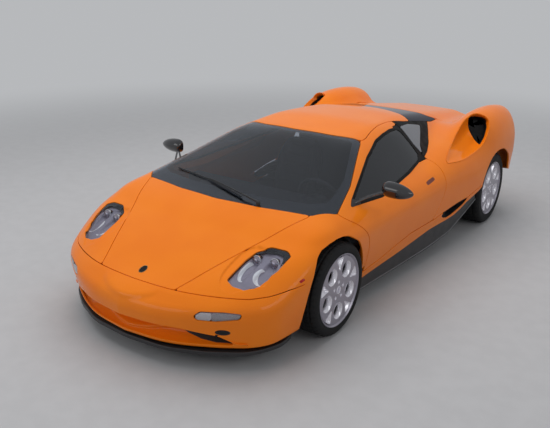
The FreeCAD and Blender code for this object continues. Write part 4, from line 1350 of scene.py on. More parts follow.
@dataclass
class Seams:
    """Where one panel ends and the next begins. Plan rows are x, y; side rows are y, z."""

    bonnet_front: Rows = ((0.0, -2.2), (0.25, -2.2, 0.01), (0.322, -2.036))
    bonnet_side: Rows = ((0.432, -1.8), (0.532, -1.58), (0.615, -1.414), (0.699, -1.211, 0.02))
    screen_base: Rows = ((0.699, -1.211, 0.02), (0.342, -1.28), (0.0, -1.306))
    screen_side: Rows = ((0.808, -1.08, 0.05), (0.72, -0.757), (0.513, -0.251, 0.05))
    screen_top: Rows = ((0.513, -0.251, 0.05), (0.3, -0.318), (0.0, -0.346))
    roof_edge: Rows = ((0.511, -0.184), (0.478, -0.041), (0.448, 0.132), (0.437, 0.293), (0.445, 0.416),
                       (0.47, 0.56))
    roof_rear: Rows = ((0.472, 0.655, 0.012), (0.40, 0.69), (0.28, 0.77), (0.13, 0.86), (0.0, 0.90))
    band_rear: Rows = ((0.0, 1.16), (0.2, 1.15), (0.34, 1.125), (0.41, 1.16), (0.452, 1.30, 0.004))
    band_side: Rows = ((0.478, 1.10), (0.476, 0.80))
    deck_front: Rows = ((0.0, 1.3), (0.30, 1.3), (0.455, 1.31, 0.02))
    deck_side: Rows = ((0.53, 1.42), (0.59, 1.7), (0.56, 2.08, 0.08), (0.52, 2.14, 0.05))
    lamp_plan: Rows = ((0.544, -1.872, 0.02), (0.552, -1.7), (0.572, -1.615), (0.64, -1.556), (0.745, -1.543),
                       (0.787, -1.572, 0.008), (0.776, -1.69), (0.722, -1.84, 0.03), (0.68, -1.872),
                       (0.6, -1.89, 0.03))
    nose_line: Rows = ((-2.4, 0.478), (-1.9, 0.47), (-1.82, 0.479), (-1.712, 0.498), (-1.593, 0.505),
                       (-1.56, 0.3))
    door_front: Rows = ((-1.08, 1.2), (-1.08, 0.763), (-1.03, 0.722), (-0.96, 0.68), (-0.905, 0.627),
                        (-0.848, 0.546), (-0.812, 0.453), (-0.775, 0.265, 0.02))
    door_rear: Rows = ((-0.55, 0.295), (-0.35, 0.338), (-0.15, 0.369), (0.215, 0.369, 0.06), (0.35, 0.56),
                       (0.4, 0.76), (0.404, 0.83), (0.378, 1.035), (0.378, 1.2))
    window: Rows = ((-0.935, 0.768, 0.02), (-0.708, 0.842), (-0.363, 0.955), (-0.099, 1.018), (0.06, 1.034),
                    (0.2, 1.04), (0.3, 1.034, 0.03), (0.338, 1.01, 0.03), (0.358, 0.9), (0.348, 0.838, 0.015),
                    (0.3, 0.806), (0.023, 0.776), (-0.191, 0.762), (-0.507, 0.738))
    pillar: Rows = ((0.372, 1.15, 0.01), (0.390, 0.93), (0.404, 0.812, 0.008), (0.524, 0.828), (0.696, 0.860),
                    (0.88, 0.906), (1.02, 0.952, 0.02), (1.05, 1.15, 0.01))
    rear_pane: Rows = ((0.398, 1.028, 0.012), (0.58, 1.016), (0.81, 0.968, 0.012), (0.70, 0.932),
                       (0.497, 0.873), (0.425, 0.828, 0.006), (0.402, 0.90))
    # the sill's lower edge and its upper one, both from the front to the rear
    sill_low: Rows = ((-0.84, 0.19), (-0.742, 0.200), (-0.326, 0.237), (0.19, 0.288), (0.47, 0.292),
                      (0.597, 0.303), (0.70, 0.332), (0.79, 0.368), (0.876, 0.388), (1.06, 0.43))
    sill_high: Rows = ((-0.84, 0.262), (-0.775, 0.262), (-0.55, 0.292), (-0.35, 0.335), (-0.15, 0.366),
                       (0.215, 0.366), (0.42, 0.388), (0.62, 0.408), (0.80, 0.415), (1.06, 0.46))
    # the underside behind the rear wheel rises towards the sides
    under: Rows = ((1.70, 0.0), (1.70, 0.46), (1.82, 0.43), (2.06, 0.36), (2.3, 0.27), (2.45, 0.0))
    tail_place: float = 2.06
    front_arch: Rows = ((-1.565, 0.05), (-1.562, 0.30), (-1.555, 0.40), (-1.538, 0.492), (-1.504, 0.563),
                        (-1.460, 0.615), (-1.40, 0.645), (-1.317, 0.660), (-1.231, 0.666), (-1.161, 0.663),
                        (-1.10, 0.65), (-1.0, 0.583), (-0.93, 0.496), (-0.845, 0.36), (-0.795, 0.25),
                        (-0.76, 0.05))
    rear_arch: tuple[float, float, float] = (1.437, 0.329, 0.374)

    def __post_init__(self) -> None:
        """Draws the outlines that several panels share."""
        self.bonnet = drawn(Plane.PLAN, [*self.bonnet_front, *self.bonnet_side, *self.screen_base[1:]],
                            mirror=True)
        self.screen = drawn(Plane.PLAN, [*turned(self.screen_base), *self.screen_side, *self.screen_top[1:]],
                            mirror=True)
        self.roof = drawn(Plane.PLAN, [*turned(self.screen_top), *self.roof_edge, *self.roof_rear],
                          mirror=True)
        self.deck = drawn(Plane.PLAN, [*self.deck_front, *self.deck_side, (0.0, 2.15)], mirror=True)
        self.band = drawn(Plane.PLAN, [*self.band_rear, *self.band_side, *self.roof_rear], mirror=True)
        self.cowl = drawn(Plane.PLAN, [*self.deck_front, *turned(self.band_rear)], mirror=True)
        self.lamp = drawn(Plane.PLAN, self.lamp_plan, 0.05)
        self.door = drawn(Plane.SIDE, [*self.door_front, *self.door_rear])
        self.glass = drawn(Plane.SIDE, self.window)
        self.quarter = drawn(Plane.SIDE, self.pillar, 0.03)
        self.pane = drawn(Plane.SIDE, self.rear_pane, 0.03)
        self.sills = drawn(Plane.SIDE, [*self.sill_low, *turned(self.sill_high)], 0.01)
        self.below = drawn(Plane.SIDE, [(-0.84, 0.0), *self.sill_low, (1.12, 0.44), (1.12, 0.0)], 0.01)
        self.behind = drawn(Plane.SIDE, self.under, 0.05)
        # the door's frame behind its glass is black
        self.post = Both(self.door, Both(Half(1, 0.285), Both(Half(2, 0.80), Half(2, 1.043, -1.0))))
        self.above_nose = drawn(Plane.SIDE, [*self.nose_line, (-0.76, 0.31), (-0.76, 1.2), (-2.4, 1.2)], 0.03)
        self.nose = drawn(Plane.SIDE, [*self.nose_line[:-1], (-1.5, 0.505), (-1.5, 0.0), (-2.4, 0.0)], 0.03)
        self.arches = [drawn(Plane.SIDE, self.front_arch, 0.12),
                       Disc(Plane.SIDE, self.rear_arch[:2], self.rear_arch[2])]


@dataclass
class Bodywork:
    """The painted panels."""

    shop: Workshop
    seams: Seams
    gap: float = 4 * MM
    roll: float = 2.5 * MM
    wall: float = 12 * MM
    grid_step: float = 23 * MM
    dish: Rows = ((1.237, 1.236), (1.158, 1.161), (1.090, 1.014), (1.039, 0.883), (1.014, 0.790),
                  (1.028, 0.757, 0.012), (1.116, 0.780), (1.182, 0.813), (1.281, 0.893), (1.350, 0.973),
                  (1.392, 1.115), (1.384, 1.19), (1.350, 1.222, 0.06), (1.290, 1.243))
    slot: Rows = ((0.36, 0.366), (0.45, 0.383), (0.62, 0.399), (0.80, 0.404, 0.005), (0.73, 0.370),
                  (0.643, 0.346), (0.541, 0.325), (0.47, 0.320), (0.41, 0.334))

    def __post_init__(self) -> None:
        """Lays out the grids and draws the outlines of what opens in the rear quarter."""
        self.patch = SpinePatch(FORM, self.grid_step, -1.6, 1.75, 132.0)
        self.wing_patch = SpinePatch(FORM, 18 * MM, -1.6, -0.7, 132.0, 0.9, rear=False)
        self.nose_patch = FanPatch(FORM, (0.0, -1.3, 0.38), -1.0, (-84.0, 84.0), (-27.0, 20.0), 0.8)
        self.tail_patch = FanPatch(FORM, (0.0, 1.5, 0.55), 1.0, (-88.0, 88.0), (-40.0, 42.0), 0.9, 0.6)
        self.dish_line = drawn(Plane.SCOOP, self.dish)
        self.dish_cut = Both(self.dish_line, Both(Half(1, 0.3), Half(1, 1.39, -1.0)))
        self.slot_line = drawn(Plane.SIDE, self.slot, 0.03)

    def panel(self, cuts: Sequence[Cut], patch: Patch | None = None, half: bool = False,
              wall: float | Callable[[Array], Array] | None = None, lift: float = 0.0,
              gap: float | None = None) -> Mesh:
        """A closed panel cut from the shell.

        Args:
            cuts: what bounds it; the gap is shared evenly with its neighbours.
            half: whether only the left side is made.
            wall: its thickness, or a function of its points.
            lift: how far it stands off the shell.
            gap: the room between it and its neighbours, where it isn't the usual one.

        Returns:
            The closed panel.
        """
        room = (self.gap if gap is None else gap) / 2 + self.roll
        patch = patch or self.patch
        left = slice((patch.columns - 1) // 2, patch.columns) if half else None
        points, normals, faces, ways = cut_patch(patch, cuts, room, left)
        depth = self.wall if wall is None else wall
        return shell(points, normals, faces, ways, depth(points) if callable(depth) else depth, self.roll,
                     lift)

    def build(self) -> None:
        """Every painted panel."""
        shop, seams = self.shop, self.seams
        paint = shop.finishes.paint
        front, rear = seams.arches
        sill_edge = Half(2, 0.165)
        left = Half(0, 0.0)
        low_edge = Half(2, 0.235)
        shop.piece("bonnet", self.panel([seams.bonnet, seams.above_nose]), paint, "bonnet", "paint",
                   ["bonnet"])
        shop.piece("roof", self.panel([seams.roof]), paint, "chassis", "paint", ["roof"])
        fender = [seams.above_nose, ~seams.bonnet, ~seams.screen, ~seams.door, ~seams.lamp, ~front, left]
        shop.pair("fender", self.panel(fender, self.wing_patch, half=True), paint, slot="paint",
                  replaces=["fenders"])
        door = [seams.door, ~seams.screen, ~seams.roof, ~seams.glass, ~seams.post]
        shop.pair("door_skin", self.panel(door, half=True, wall=self.door_wall), paint, "door_left", "paint",
                  ["door_left"])
        post = self.panel([seams.post, ~seams.roof, ~seams.glass.inset(4 * MM)], half=True, gap=1.5 * MM,
                          lift=-0.5 * MM)
        shop.pair("door_post", post, shop.finishes.seal, "door_left", "black_trim")
        shop.piece("rear_cowl", self.panel([seams.cowl]), paint, "chassis", "paint")
        quarter = [Half(1, 0.1), Half(1, seams.tail_place, -1.0), ~seams.door, ~seams.roof, ~seams.band,
                   ~seams.deck, ~seams.cowl, ~rear, ~seams.quarter, ~self.dish_cut, ~seams.sills,
                   ~seams.below, ~seams.behind, low_edge]
        shop.pair("rear_quarter", self.panel(quarter, half=True), paint, slot="paint",
                  replaces=["rear_quarters"])
        sill = [seams.sills, ~front, ~rear, ~self.slot_line, sill_edge]
        shop.pair("sill", self.panel(sill, half=True), paint, slot="paint", replaces=["sills"])
        shop.piece("engine_lid", self.panel([seams.deck, Half(1, seams.tail_place, -1.0)]), paint,
                   "engine_lid", "paint", ["engine_lid"])

    @staticmethod
    def door_wall(p: Array) -> Array:
        """A door is thick below the glass and thin around it."""
        return 0.018 + 0.05 * smooth(0.80 - p[..., 2], 0.0, 0.06)


@dataclass
class Glazing:
    """The windscreen, side glass, rubber pillars and the dark band behind the roof."""

    shop: Workshop
    seams: Seams
    body: Bodywork
    pane: float = 4 * MM
    sunk: float = 1.5 * MM

    def build(self) -> None:
        """Panes a little below the paint, with black borders under their edges."""
        shop, seams, body = self.shop, self.seams, self.body
        finishes = shop.finishes
        glass = body.panel([seams.screen], wall=self.pane, lift=-self.sunk)
        shop.piece("windscreen", glass, finishes.glass, "chassis", "dark_glass", ["windscreen"])
        inner = drawn(Plane.PLAN, [(0.0, -1.185), (0.33, -1.165), (0.6, -1.11, 0.08), (0.715, -1.04, 0.08),
                                   (0.665, -0.757), (0.475, -0.31, 0.06), (0.29, -0.36), (0.0, -0.386)],
                      mirror=True)
        border = body.panel([seams.screen, ~inner], wall=3 * MM, lift=-self.sunk - 6 * MM)
        shop.piece("windscreen_border", border, finishes.frit, "chassis", "black_trim")
        shop.pair("door_glass", body.panel([seams.glass.inset(9 * MM)], half=True, wall=self.pane,
                                           lift=-self.sunk), finishes.side_glass, "door_left", "dark_glass",
                  ["door_glass_left"])
        self.seal("window_seal", seams.window, "door_left", 15 * MM)
        rubber = [seams.quarter, ~seams.roof, ~seams.door, ~seams.band, Half(0, 0.0)]
        shop.pair("pillar_rubber", body.panel([*rubber, ~seams.pane], half=True, gap=1 * MM), finishes.seal,
                  slot="black_trim", replaces=["quarter_windows"])
        # the quarter glass's pale grey is painted reflection
        shop.pair("quarter_glass", body.panel([seams.pane, ~seams.roof], half=True, gap=1 * MM,
                                              wall=self.pane, lift=-self.sunk), finishes.pale_glass,
                  slot="dark_glass")
        shop.piece("rear_band", body.panel([seams.band], lift=-self.sunk), finishes.band_glass, "chassis",
                   "dark_glass", ["rear_band"])

    def seal(self, name: str, rows: Rows, body: str, width: float) -> None:
        """A flat rubber moulding that follows an outline of the side view, inside its edge.

        The section is a low arch: across runs from the outline inwards, and the height is the
        square root of 1 less the fourth power of the place across.
        """
        outline = drawn(Plane.SIDE, rows)
        line = outline.points
        step = np.linalg.norm(np.roll(line, -1, axis=0) - line, axis=1)
        total = np.cumsum(step)
        spots = np.linspace(0.0, total[-1], int(total[-1] / 0.012), endpoint=False)
        closed = np.concatenate((line, line[:1]))
        place = np.concatenate(((0.0,), total))
        line = np.stack([np.interp(spots, place, closed[:, k]) for k in (0, 1)], -1)
        ahead = unit(np.roll(line, -2, axis=0) - np.roll(line, 2, axis=0))
        inward = np.stack((-ahead[:, 1], ahead[:, 0]), -1)
        across = np.linspace(-1.0, 1.0, 7)
        middle = line + inward * (width / 2 - 1 * MM)
        flat = middle[:, None] + inward[:, None] * across[None, :, None] * width / 2
        top = Flank.on_side(flat.reshape(-1, 2)).reshape(len(line), len(across), 3)
        n = FORM.normal(top)
        top = top + n * (0.5 * MM + 2.0 * MM * np.sqrt(1 - np.abs(across) ** 4))[None, :, None]
        low = top[:, ::-1] - n[:, ::-1] * 12 * MM
        side = unit(top[:, -1:] - top[:, :1])
        upper = unit(n + side * (across ** 7)[None, :, None])
        mesh = ring_mesh(np.concatenate((top, low), 1), np.concatenate((upper, -n[:, ::-1]), 1),
                         along_closed=True)
        self.shop.pair(name, mesh, self.shop.finishes.seal, body, "black_trim")


@dataclass
class Nose:
    """The front bumper with its mouth, splitter and towing eye."""

    shop: Workshop
    seams: Seams
    body: Bodywork
    mouth: Rows = ((-0.69, 0.184, 0.02), (-0.6, 0.246, 0.06), (-0.4, 0.287, 0.1), (0.4, 0.287, 0.1),
                   (0.6, 0.246, 0.06), (0.69, 0.184, 0.02))
    indicator: Rows = ((0.489, 0.377), (0.521, 0.407), (0.64, 0.41), (0.728, 0.4), (0.722, 0.368),
                       (0.605, 0.352), (0.51, 0.356))
    splitter: Rows = ((0.0, -2.19), (0.3, -2.165), (0.54, -2.06), (0.76, -1.915), (0.84, -1.72),
                      (0.82, -1.59, 0.02), (0.0, -1.59, 0.0))
    tow: tuple[float, float] = (0.628, 0.275)
    tow_radius: float = 18 * MM
    reach: float = 0.735        # half the lining's width
    lip: float = 0.170          # where the lining ends, just behind the lower lip
    recess: float = 0.085       # how deep the lining falls back
    ridge: tuple[float, float, float] = (0.022, 0.196,
                                         0.62)        # how proud, height at x = 0, rise by x squared
    duct: Rows = ((0.33, 0.240), (0.47, 0.265), (0.58, 0.245), (0.69, 0.196), (0.655, 0.176), (0.56, 0.1775),
                  (0.47, 0.188), (0.39, 0.209))
    badge: tuple[float, float] = (0.0, -2.008)

    def build(self) -> None:
        """The bumper, its openings and the lip below."""
        shop, seams, body = self.shop, self.seams, self.body
        mouth = drawn(Plane.FRONT, self.mouth)
        lamp = drawn(Plane.FRONT, self.indicator, 0.02)
        other = drawn(Plane.FRONT, [(-x, z) for x, z in self.indicator], 0.02)
        right_lamp = drawn(Plane.PLAN, [(-row[0], *row[1:]) for row in seams.lamp_plan], 0.05)
        tow = Disc(Plane.FRONT, self.tow, self.tow_radius, 2.0)
        cuts = [seams.nose, ~seams.lamp, ~right_lamp, ~mouth, ~lamp, ~other, ~tow, ~seams.arches[0],
                Half(2, 0.152)]
        shop.piece("front_bumper", body.panel(cuts, body.nose_patch), shop.finishes.paint, slot="paint",
                   replaces=["front_bumper"])
        shop.piece("front_splitter", plate(drawn(Plane.PLAN, self.splitter, mirror=True), 0.14,
                                           (-0.9, 0.9), (-2.25, -1.55), 24 * MM, 6 * MM, 20 * MM),
                   shop.finishes.satin, slot="black_trim", replaces=["front_splitter"])
        self.throat()
        self.lamps(lamp)
        self.tow_cup()
        shop.piece("badge", body.panel([Disc(Plane.PLAN, self.badge, 0.029, 0.78)], wall=3 * MM, lift=2 * MM,
                                       gap=0.0),
                   shop.finishes.badge, "bonnet", "black_trim")
        turn = once_round(64)
        path = FORM.above(self.badge[0] + 0.024 * np.cos(turn), self.badge[1] + 0.030 * np.sin(turn), 0.6)
        shop.piece("badge_rim", tube(path + FORM.normal(path) * 1.2 * MM, 1.5 * MM, 8, closed=True),
                   shop.finishes.gilt, "bonnet", "black_trim")

    def lining(self, u: Array, v: Array) -> Array:
        """The mouth's inner face, u across the car and v from the upper edge down to the lip.

        It falls back from the bumper as a sine of v, and stands forward along a line that curves
        up from the middle like a smile.
        """
        x = (2 * u - 1) * self.reach
        a = np.abs(x)
        front = profile(a, FORM.nose_plan, 0.2)
        top = np.interp(a, *np.array([(row[0], row[1]) for row in self.mouth[3:]]).T) + 0.014
        z = top + (self.lip - top) * v
        hollow = self.recess * np.maximum(np.sin(math.pi * v), 0.0) ** 0.8 * smooth(self.reach - a, 0.0, 0.14)
        proud, low, rise = self.ridge
        smile = proud * np.exp(-((z - low - rise * x * x) / 0.010) ** 2) * smooth(0.37 - a, 0.0, 0.06)
        return np.stack((x, front + 0.032 + 0.030 * v + hollow - smile, z), -1)

    def throat(self) -> None:
        """The painted lining of the mouth, and at each side of it a black sheet that is the duct and also
        painted shade.
        """
        u, v = np.meshgrid(np.linspace(0.0, 1.0, 121), np.linspace(0.0, 1.0, 29), indexing="ij")
        self.shop.piece("mouth_lining", slab(self.lining(u, v), 4 * MM), self.shop.finishes.paint,
                        slot="paint")
        patch = FormulaPatch(self.lining, 151, 37, flip=True)
        # the black sheet on the lining stands for the side duct and also paints the shade under the bumper's
        # upper edge
        duct = shell(*cut_patch(patch, [drawn(Plane.FRONT, self.duct, 0.02)], 2 * MM), 3 * MM, 2 * MM,
                     lift=5 * MM)
        self.shop.pair("mouth_duct_and_shade", duct, self.shop.finishes.coarse, slot="black_trim")
        bars = [tube(np.array([self.lining(np.float64(0.5 + x / 2 / self.reach), np.float64(t)) - Y * 6 * MM
                               for x in np.linspace(self.duct[1][0], self.duct[2][0], 20)]), 2.5 * MM, 8)
                for t in (0.30, 0.45)]
        self.shop.pair("mouth_bars", Mesh.joined(bars), self.shop.finishes.satin, slot="black_trim")

    def lamps(self, outline: Cut) -> None:
        """The turn lamps: a grey reflector, a clear inner third and a ribbed rest."""
        body, finishes = self.body, self.shop.finishes
        split = self.indicator[0][0] + (self.indicator[3][0] - self.indicator[0][0]) * 0.40
        lens = outline.inset(3 * MM)
        for name, cuts, lift, gap, finish, stands in (
                ("back", [outline], -20 * MM, 0.0, finishes.lamp_body, ()),
                ("clear", [lens, Half(0, split, -1.0)], -1.5 * MM, 1 * MM, finishes.pale_lens, ()),
                ("ribbed", [lens, Half(0, split)], -1.5 * MM, 1 * MM, finishes.ribbed, ["indicators"])):
            mesh = body.panel(cuts, body.nose_patch, wall=3 * MM, lift=lift, gap=gap)
            self.shop.pair(f"indicator_{name}", mesh, finish, slot="indicator", replaces=stands)

    def tow_cup(self) -> None:
        """The oval cup round each towing socket."""
        turn = once_round(40)
        start = np.stack((self.tow[0] + 2 * self.tow_radius * np.cos(turn), 0 * turn - 1.5,
                          self.tow[1] + self.tow_radius * np.sin(turn)), -1)
        rim = FORM.leave(start, -Y, 0.9)
        n = FORM.normal(rim).mean(0)
        self.shop.pair("tow_cup", pocket(rim - FORM.normal(rim) * 1.5 * MM, -unit(n), 16 * MM, 0.75),
                       self.shop.finishes.coarse, slot="black_trim")
        hole = lathe([(0.0, 0.0), (0.009, 0.0), (0.009, -0.03), (0.0, -0.03)], 32)
        centre = rim.mean(0) - unit(n) * 15 * MM
        self.shop.pair("tow_socket", hole.moved(frame_along(unit(n), centre)), self.shop.finishes.satin,
                       slot="black_trim")


@dataclass
class Headlamp:
    """The left headlamp: a housing with two troughs, two projectors and a clear cover."""

    shop: Workshop
    seams: Seams
    body: Bodywork
    depth: float = 20 * MM
    trough: float = 22 * MM
    low: tuple[float, float] = (0.49, -1.93)
    high: tuple[float, float] = (0.83, -1.50)
    # rows: front end x, y; back end x, y; half-width
    troughs: Rows = ((0.597, -1.800, 0.600, -1.670, 0.030), (0.703, -1.770, 0.713, -1.645, 0.034))
    # rows: x, y, z, radius
    projectors: Rows = ((0.601, -1.655, 0.592, 0.027), (0.716, -1.632, 0.590, 0.030))
    # rows: x, y, length, width share, how far the hollow side is moved in x and in y
    crescents: Rows = ((0.605, -1.742, 0.094, 0.50, 0.020, 0.012), (0.706, -1.746, 0.060, 0.90, 0.026, 0.016))
    clear: Rows = ((0.50, -1.70), (0.583, -1.632), (0.627, -1.592), (0.69, -1.587), (0.745, -1.583),
                   (0.765, -1.62), (0.772, -1.68), (0.80, -1.76), (0.73, -1.95), (0.5, -1.95))

    def housing(self, u: Array, v: Array) -> Array:
        """The housing: the shell lowered, and lower still along each trough."""
        x = self.low[0] + u * (self.high[0] - self.low[0])
        y = self.low[1] + v * (self.high[1] - self.low[1])
        drop = self.depth + 0 * x
        for ax, ay, bx, by, width in self.troughs:
            run = np.array((bx - ax, by - ay))
            share = np.clip(((x - ax) * run[0] + (y - ay) * run[1]) / (run @ run), 0.0, 1.0)
            away = np.hypot(x - ax - share * run[0], y - ay - share * run[1])
            drop = drop + self.trough * smooth(width - away, -0.004, 0.014) * (0.55 + 0.45 * share)
        return np.stack((x, y, FORM.above(x, y, 0.8)[..., 2] - drop), -1)

    def build(self) -> None:
        """Housing, reflectors, projectors, border and cover."""
        shop, body, lamp = self.shop, self.body, self.seams.lamp
        finishes = shop.finishes
        patch = FormulaPatch(self.housing, 76, 94)
        inside = lamp.inset(-2 * MM)
        shop.pair("headlamp_housing", shell(*cut_patch(patch, [inside], 0.0), 3 * MM, 0.0),
                  finishes.lamp_body, slot="headlamp", replaces=["headlamps"])
        for name, (x, y, length, share, right, back) in zip(("inner", "outer"), self.crescents):
            cuts = [Disc(Plane.PLAN, (x, y), length, share),
                    ~Disc(Plane.PLAN, (x + right, y + back), length, share), lamp.inset(6 * MM)]
            shop.pair(f"reflector_{name}", shell(*cut_patch(patch, cuts, 2 * MM), 2 * MM, 1.5 * MM,
                                                 lift=2.5 * MM),
                      finishes.reflector, slot="headlamp")
        for name, (x, y, z, radius) in zip(("inner", "outer"), self.projectors):
            self.projector(name, np.array((x, y, z)), radius)
        border = body.panel([lamp.inset(1 * MM), ~drawn(Plane.PLAN, self.clear)], half=True, wall=1.5 * MM,
                            gap=0.0, lift=-4.5 * MM)
        shop.pair("headlamp_border", border, finishes.gloss, slot="headlamp")
        shop.pair("headlamp_cover", body.panel([lamp], half=True, wall=3 * MM, gap=2 * MM), finishes.cover,
                  slot="headlamp")

    def projector(self, name: str, centre: Array, radius: float) -> None:
        """A glass ball in a bright ring on a short barrel, looking forwards and a little up."""
        place = frame_along(np.array((0.0, -0.93, 0.36)), centre)
        ring = lathe([(radius * 1.0, 0.010), (radius * 1.12, 0.008), (radius * 1.16, 0.0),
                      (radius * 1.1, -0.04), (radius * 0.9, -0.04), (radius * 0.92, 0.004)], 48)
        turn = np.linspace(0.0, math.pi / 2, 9)
        ball = [(radius * math.cos(t), radius * 0.75 * math.sin(t)) for t in turn]
        glass = lathe([*ball[:-1], (0.0, ball[-1][1]), (0.0, -0.02), (radius * 0.9, -0.02)], 48)
        self.shop.pair(f"projector_ring_{name}", ring.moved(place), self.shop.finishes.chrome,
                       slot="headlamp")
        self.shop.pair(f"projector_{name}", glass.moved(place), self.shop.finishes.projector, slot="headlamp")


def shift(x: float, y: float, z: float) -> Array:
    """A motion that only carries the origin to a place."""
    matrix = np.eye(4)
    matrix[:3, 3] = x, y, z
    return matrix


def frame_along(ahead: Array, centre: Array) -> Array:
    """A rigid motion that takes +X to the given direction and the origin to the centre."""
    ahead = unit(ahead)
    side = unit(np.cross(Z, ahead)) if abs(ahead[2]) < 0.99 else Y
    matrix = np.eye(4)
    matrix[:3, 0], matrix[:3, 1], matrix[:3, 2], matrix[:3, 3] = ahead, side, np.cross(ahead, side), centre
    return matrix


@dataclass
class Flank:
    """What opens in the sides: shoulder scoops, low intakes, skirts, handles and side markers."""

    shop: Workshop
    seams: Seams
    body: Bodywork
    tip: tuple[float, float] = (1.03, 0.76)
    throat: tuple[float, float] = (1.28, 1.12)
    low: tuple[float, float] = (0.97, 0.71)
    span: tuple[float, float] = (0.47, 0.60)
    depth: float = 0.15
    inside: float = 0.55        # how far along the scoop's direction its plane lies within the body
    hole: Rows = ((1.203, 1.21, 0.03), (1.276, 1.23), (1.348, 1.207), (1.378, 1.14), (1.35, 1.02),
                  (1.312, 0.95, 0.012), (1.249, 1.023), (1.203, 1.12))
    skirt: Rows = ((-0.83, 0.830, 0.112, 0.205), (-0.28, 0.874, 0.112, 0.252), (0.15, 0.908, 0.115, 0.296),
                   (0.30, 0.918, 0.120, 0.304), (0.57, 0.942, 0.150, 0.310), (0.80, 0.972, 0.245, 0.378),
                   (1.0, 0.995, 0.335, 0.420))

    @staticmethod
    def on_side(line: Array) -> Array:
        """Points of a side view outline carried out to the shell, as (..., 3)."""
        start = np.stack((0.45 + 0 * line[:, 0], line[:, 0], line[:, 1]), -1)
        return FORM.leave(start, X, 0.9)

    def duct(self, outline: Outline, throat: Sequence[float], size: tuple[float, float], near: Array,
             pull: float) -> Mesh:
        """A duct from an outline on the shell to an upright oval throat.

        Args:
            outline: where it starts, in the side view.
            throat: the oval's middle.
            size: the oval's half-widths across and up.
            near: how deep the wall runs straight in before it bends, at each outline point.
            pull: how far ahead of the throat the wall already runs along the car.

        Returns:
            The duct's closed wall.
        """
        mouth = self.on_side(outline.points)
        n = FORM.normal(mouth)
        count = len(mouth)
        start = int(np.argmax(mouth[:, 2]))
        turn = math.pi / 2 + (np.arange(count) - start) / count * 2 * math.pi * self.sense(mouth)
        end = np.stack((throat[0] + size[0] * np.cos(turn), 0 * turn + throat[1],
                        throat[2] + size[1] * np.sin(turn)), -1)
        first = mouth - n * 5 * MM
        second = mouth - n * near[:, None]
        third = end - Y * pull
        return funnel([(1 - t) ** 3 * first + 3 * t * (1 - t) ** 2 * second + 3 * t * t * (1 - t) * third
                       + t ** 3 * end for t in np.linspace(0.0, 1.0, 22)])

    @staticmethod
    def sense(mouth: Array) -> float:
        """Which way round a mouth's points run, seen from behind."""
        centre = mouth.mean(0)
        spin = np.cross(mouth - centre, np.roll(mouth, -1, axis=0) - centre).sum(0)
        return 1.0 if spin[0] > 0 else -1.0

    def __post_init__(self) -> None:
        """Works out which way the scoops run inwards."""
        self.inwards = -unit(np.cross(*np.array(Plane.SCOOP.value)))

    def build(self) -> None:
        """The pieces of both sides."""
        self.scoop()
        self.intake()
        self.skirts()
        self.handle()

    def hollow(self, u: Array, v: Array) -> Array:
        """The scoop's inner surface: the shell pushed in along the scoop's own direction.

        The push grows from the front tip to the throat, and from nothing at the outline to its
        full amount some way in, as 1 - (1 - share) squared.
        """
        q = np.stack((self.low[0] + u * self.span[0], self.low[1] + v * self.span[1]), -1)
        start = Plane.SCOOP.solid(q) + self.inwards * self.inside
        outer = FORM.leave(start, -self.inwards, 1.3)
        edge = self.body.dish_line.distance(Plane.SCOOP.solid(q))[0]
        back = smooth((q - self.tip) @ unit(np.array(self.throat) - self.tip), 0.02, 0.40)
        share = np.clip(edge / (0.045 + 0.050 * back), 0.0, 1.0)
        push = 3 * MM + (0.02 + self.depth * back) * (1 - (1 - share) ** 2)
        return outer + self.inwards * push[..., None]

    def scoop(self) -> None:
        """The shoulder scoop: a hollow that ends in a dark drop-shaped throat."""
        shop = self.shop
        patch = FormulaPatch(self.hollow, 70, 70, flip=True)
        mouth = drawn(Plane.SCOOP, self.hole)
        dish = self.body.dish_line
        surface = shell(*cut_patch(patch, [dish.inset(-3 * MM), ~mouth, Half(1, 1.385, -1.0)], 3 * MM),
                        4 * MM, 3 * MM)
        shop.pair("scoop_hollow", surface, shop.finishes.paint, slot="paint")
        points = mouth.points
        share = (points - self.low) / self.span
        rim = self.hollow(share[:, 0], share[:, 1])
        rings = [rim + self.inwards * depth + (rim.mean(0) - rim) * tight
                 for depth, tight in ((0.0, 0.0), (0.04, 0.02), (0.09, 0.08), (0.15, 0.16))]
        shop.pair("scoop_duct", funnel(rings), shop.finishes.satin, slot="black_trim")
        last, middle = rings[-1], rings[-1].mean(0)
        end = np.stack((last, last * 0.5 + middle * 0.5, last * 0.02 + middle * 0.98))
        facing = np.broadcast_to(-self.inwards, end.shape)
        cap = ring_mesh(np.concatenate((end, end[::-1] + self.inwards * 5 * MM)),
                        np.concatenate((facing, -facing)))
        shop.pair("scoop_end", cap, shop.finishes.coarse, slot="black_trim")

    def intake(self) -> None:
        """The low intake ahead of the rear wheel."""
        shop = self.shop
        line = self.body.slot_line
        depth = 0.03 + 0 * line.points[:, 0]
        duct = self.duct(line, (0.80, 1.02, 0.42), (0.05, 0.04), depth, 0.1)
        shop.pair("intake_duct", duct, shop.finishes.satin, slot="black_trim")

    def skirts(self) -> None:
        """Black skirts under the sills, lofted through sections from the front wheel to the rear, with a
        painted highlight along their lower edge.
        """
        rows = np.array(self.skirt)
        y = np.linspace(rows[0, 0], rows[-1, 0], 60)
        outer, low, high = (np.interp(y, rows[:, 0], rows[:, k]) for k in (1, 2, 3))
